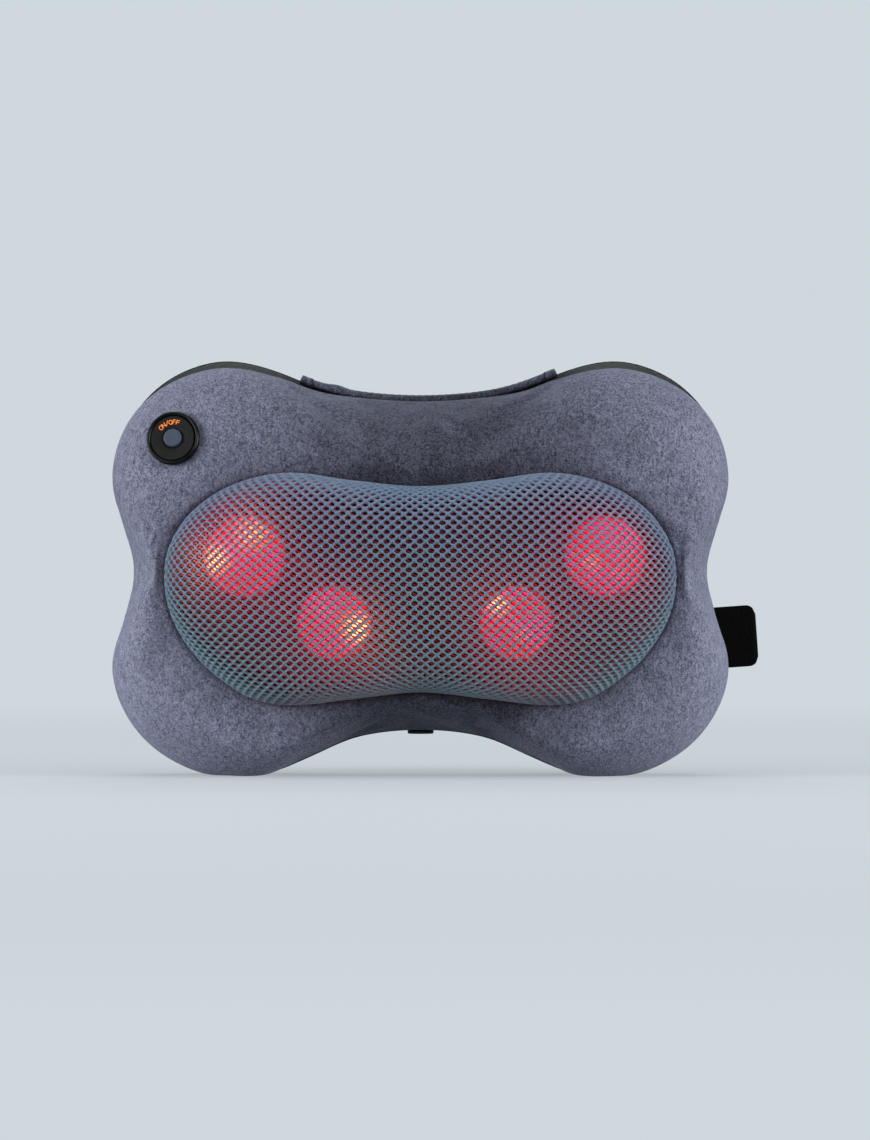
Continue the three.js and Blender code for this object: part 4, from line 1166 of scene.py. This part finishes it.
def massage_head(name, radius, top, spots):
    """A hollow red dome on a rotor, with the painted glow of its lamp held in the mesh."""
    node = f"massage_head_{name}"
    low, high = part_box(node)
    base = REAR_Y - high.y / MM
    middle = top - radius * 1.05
    foot, wall = radius * 0.69, 2.5
    turn = np.linspace(0, math.pi / 2, 22)
    dome = list(zip(radius * np.cos(turn), middle + (top - middle) * np.sin(turn)))
    inner = [(max(r - wall, 0), d - wall) for r, d in dome][::-1]
    profile = [*inner, (foot - wall, base), (foot, base), *dome[:-1], (0, top)]
    origin = (low + high) / 2
    origin.y = REAR_Y * MM
    piece = lathe(f"kneading_dome_{name}", profile, Matrix.Translation(origin), 56, 40)
    points = np.array([v.co - origin for v in piece.data.vertices]) / MM
    local_x, local_z = points[:, 0], points[:, 2]
    # Painted light: bright spots where the lamps would shine through, and a glow that fades near
    # the rim.
    painted_lamp_spots = 0
    for spot_x, spot_z, power, spread in spots:
        away = (local_x - spot_x) ** 2 + (local_z - spot_z) ** 2
        painted_lamp_spots = painted_lamp_spots + power * np.exp(-away / (2 * spread**2))
    edge = np.clip((radius - np.hypot(local_x, local_z)) / (0.16 * radius), 0, 1)
    for label, value in (("painted_lamp_spot", painted_lamp_spots), ("lamp_glow", 0.1 + 0.9 * eased(edge))):
        layer = piece.data.attributes.new(label, "FLOAT", "POINT")
        layer.data.foreach_set("value", value.astype(np.float32))
    finish_piece(piece, HEAD, node, name.split("_")[0] + "_rotor")


def massage_heads():
    for name, _, _, radius, top, spots in HEADS:
        massage_head(name, radius, top, spots)


def both(*stems):
    return [f"{stem}_{side}" for stem in stems for side in ("left", "right")]


def cad_materials():
    cad_finish(FOAM, "foam_ring")
    cad_finish(TAPE, "zip_tape_upper", "zip_tape_lower")
    cad_finish(BLACK, "base_shell", "top_shell", "motor_end_cap", "tact_switch")
    cad_finish(BLACK, *both("rotor_arm"))
    cad_finish(STEEL, "motor_can", "motor_shaft", *both("output_shaft"))
    cad_finish(STEEL, *[f"housing_screw_{i}" for i in range(1, 5)])
    cad_finish(NYLON, "button_clamp_ring", *both("worm", "worm_wheel"))
    cad_finish(BOARD, "main_board", "button_board")
    cad_finish(SHEATH, "jack_lead", "button_lead")
    cad_finish(BRONZE, *both("shaft_bush", "rear_bush", "front_bush", "slip_ring"))
    cad_finish(HEAD, *[f"heat_lamp_{head[0]}" for head in HEADS])


# ---- stage ----


def backdrop():
    """A pale round floor that sweeps up into a wall, wider than any camera's distance."""
    flat, bend, tall = 4.0, 2.0, 6.0
    turn = np.linspace(0, math.pi / 2, 24)
    profile = [(0.00002, 0.0), (1.0, 0.0), (flat, 0.0)]
    profile += list(zip(flat + bend * np.sin(turn), bend - bend * np.cos(turn)))
    profile.append((flat + bend, tall))
    round_about = angles(96)
    points = [[(r * math.cos(t), r * math.sin(t), z) for t in round_about] for r, z in profile]
    piece = skin("studio_sweep", np.array(points), wrap_columns=True)
    piece.visible_diffuse = piece.visible_glossy = piece.visible_transmission = False
    s = Shader("pale_sweep")
    tone = s.noise(900, 1)
    color = s.mix(tone, srgb(206, 215, 220), srgb(208, 217, 222))
    s.set(Base_Color=color, Roughness=1.0, Specular_IOR_Level=0.0)
    glow = s.add("Emission", {"Color": color, "Strength": 1.0})
    away = s.add("VectorMath", {0: s.place}, operation="LENGTH").outputs["Value"]
    s.mix_surface(s.span(away, 0.2, 1.6, 0.55, 1.0), glow.outputs["Emission"])
    piece.data.materials.append(s.material)


def soft_light(name, location, size, power):
    light = bpy.data.lights.new(name, "AREA")
    light.shape = "RECTANGLE"
    light.size, light.size_y = size
    light.energy = power
    lamp = add_object(name, light)
    lamp.location = location
    aim = Vector((0, 0, 0.1)) - Vector(location)
    lamp.rotation_euler = aim.to_track_quat("-Z", "Y").to_euler()


def studio():
    backdrop()
    soft_light("top", (0.0, -0.3, 2.0), (1.8, 1.2), 9)
    soft_light("left", (-1.6, -0.75, 0.35), (0.9, 1.2), 30)
    soft_light("right", (1.6, -0.75, 0.35), (0.9, 1.2), 30)
    soft_light("behind", (0.0, 2.6, 2.8), (2.4, 1.6), 30)
    world = bpy.data.worlds.new("studio_air")
    world.use_nodes = True
    sky = world.node_tree.nodes["Background"]
    sky.inputs["Color"].default_value = srgb(212, 219, 226)
    sky.inputs["Strength"].default_value = 0.35
    bpy.context.scene.world = world
    bpy.context.scene.view_settings.view_transform = "Standard"


def camera():
    """A long lens that looks straight at the massage face."""
    distance, sensor = 3.0, 36
    seen_width = 465.4 * MM  # across the picture at the pillow
    aside, below = 7.76, 0.5  # from the pillow's middle to the picture's
    data = bpy.data.cameras.new("camera")
    data.sensor_fit = "HORIZONTAL"
    data.sensor_width = sensor
    data.lens = sensor * distance / seen_width
    data.clip_end = 20
    view = add_object("camera", data)
    seen_plane = (REAR_Y - 30) * MM
    view.location = ((BODY_X + aside) * MM, seen_plane - distance, (BODY_Z - below) * MM)
    view.rotation_euler = (math.radians(90), 0, 0)
    bpy.context.scene.camera = view


camera()
front_cover()
side_gusset()
rear_piping()
back_cover()
air_mesh()
carry_band()
rear_strap()
strap_end()
zip_parts()
power_controls()
power_inlet()
massage_heads()
cad_materials()
studio()
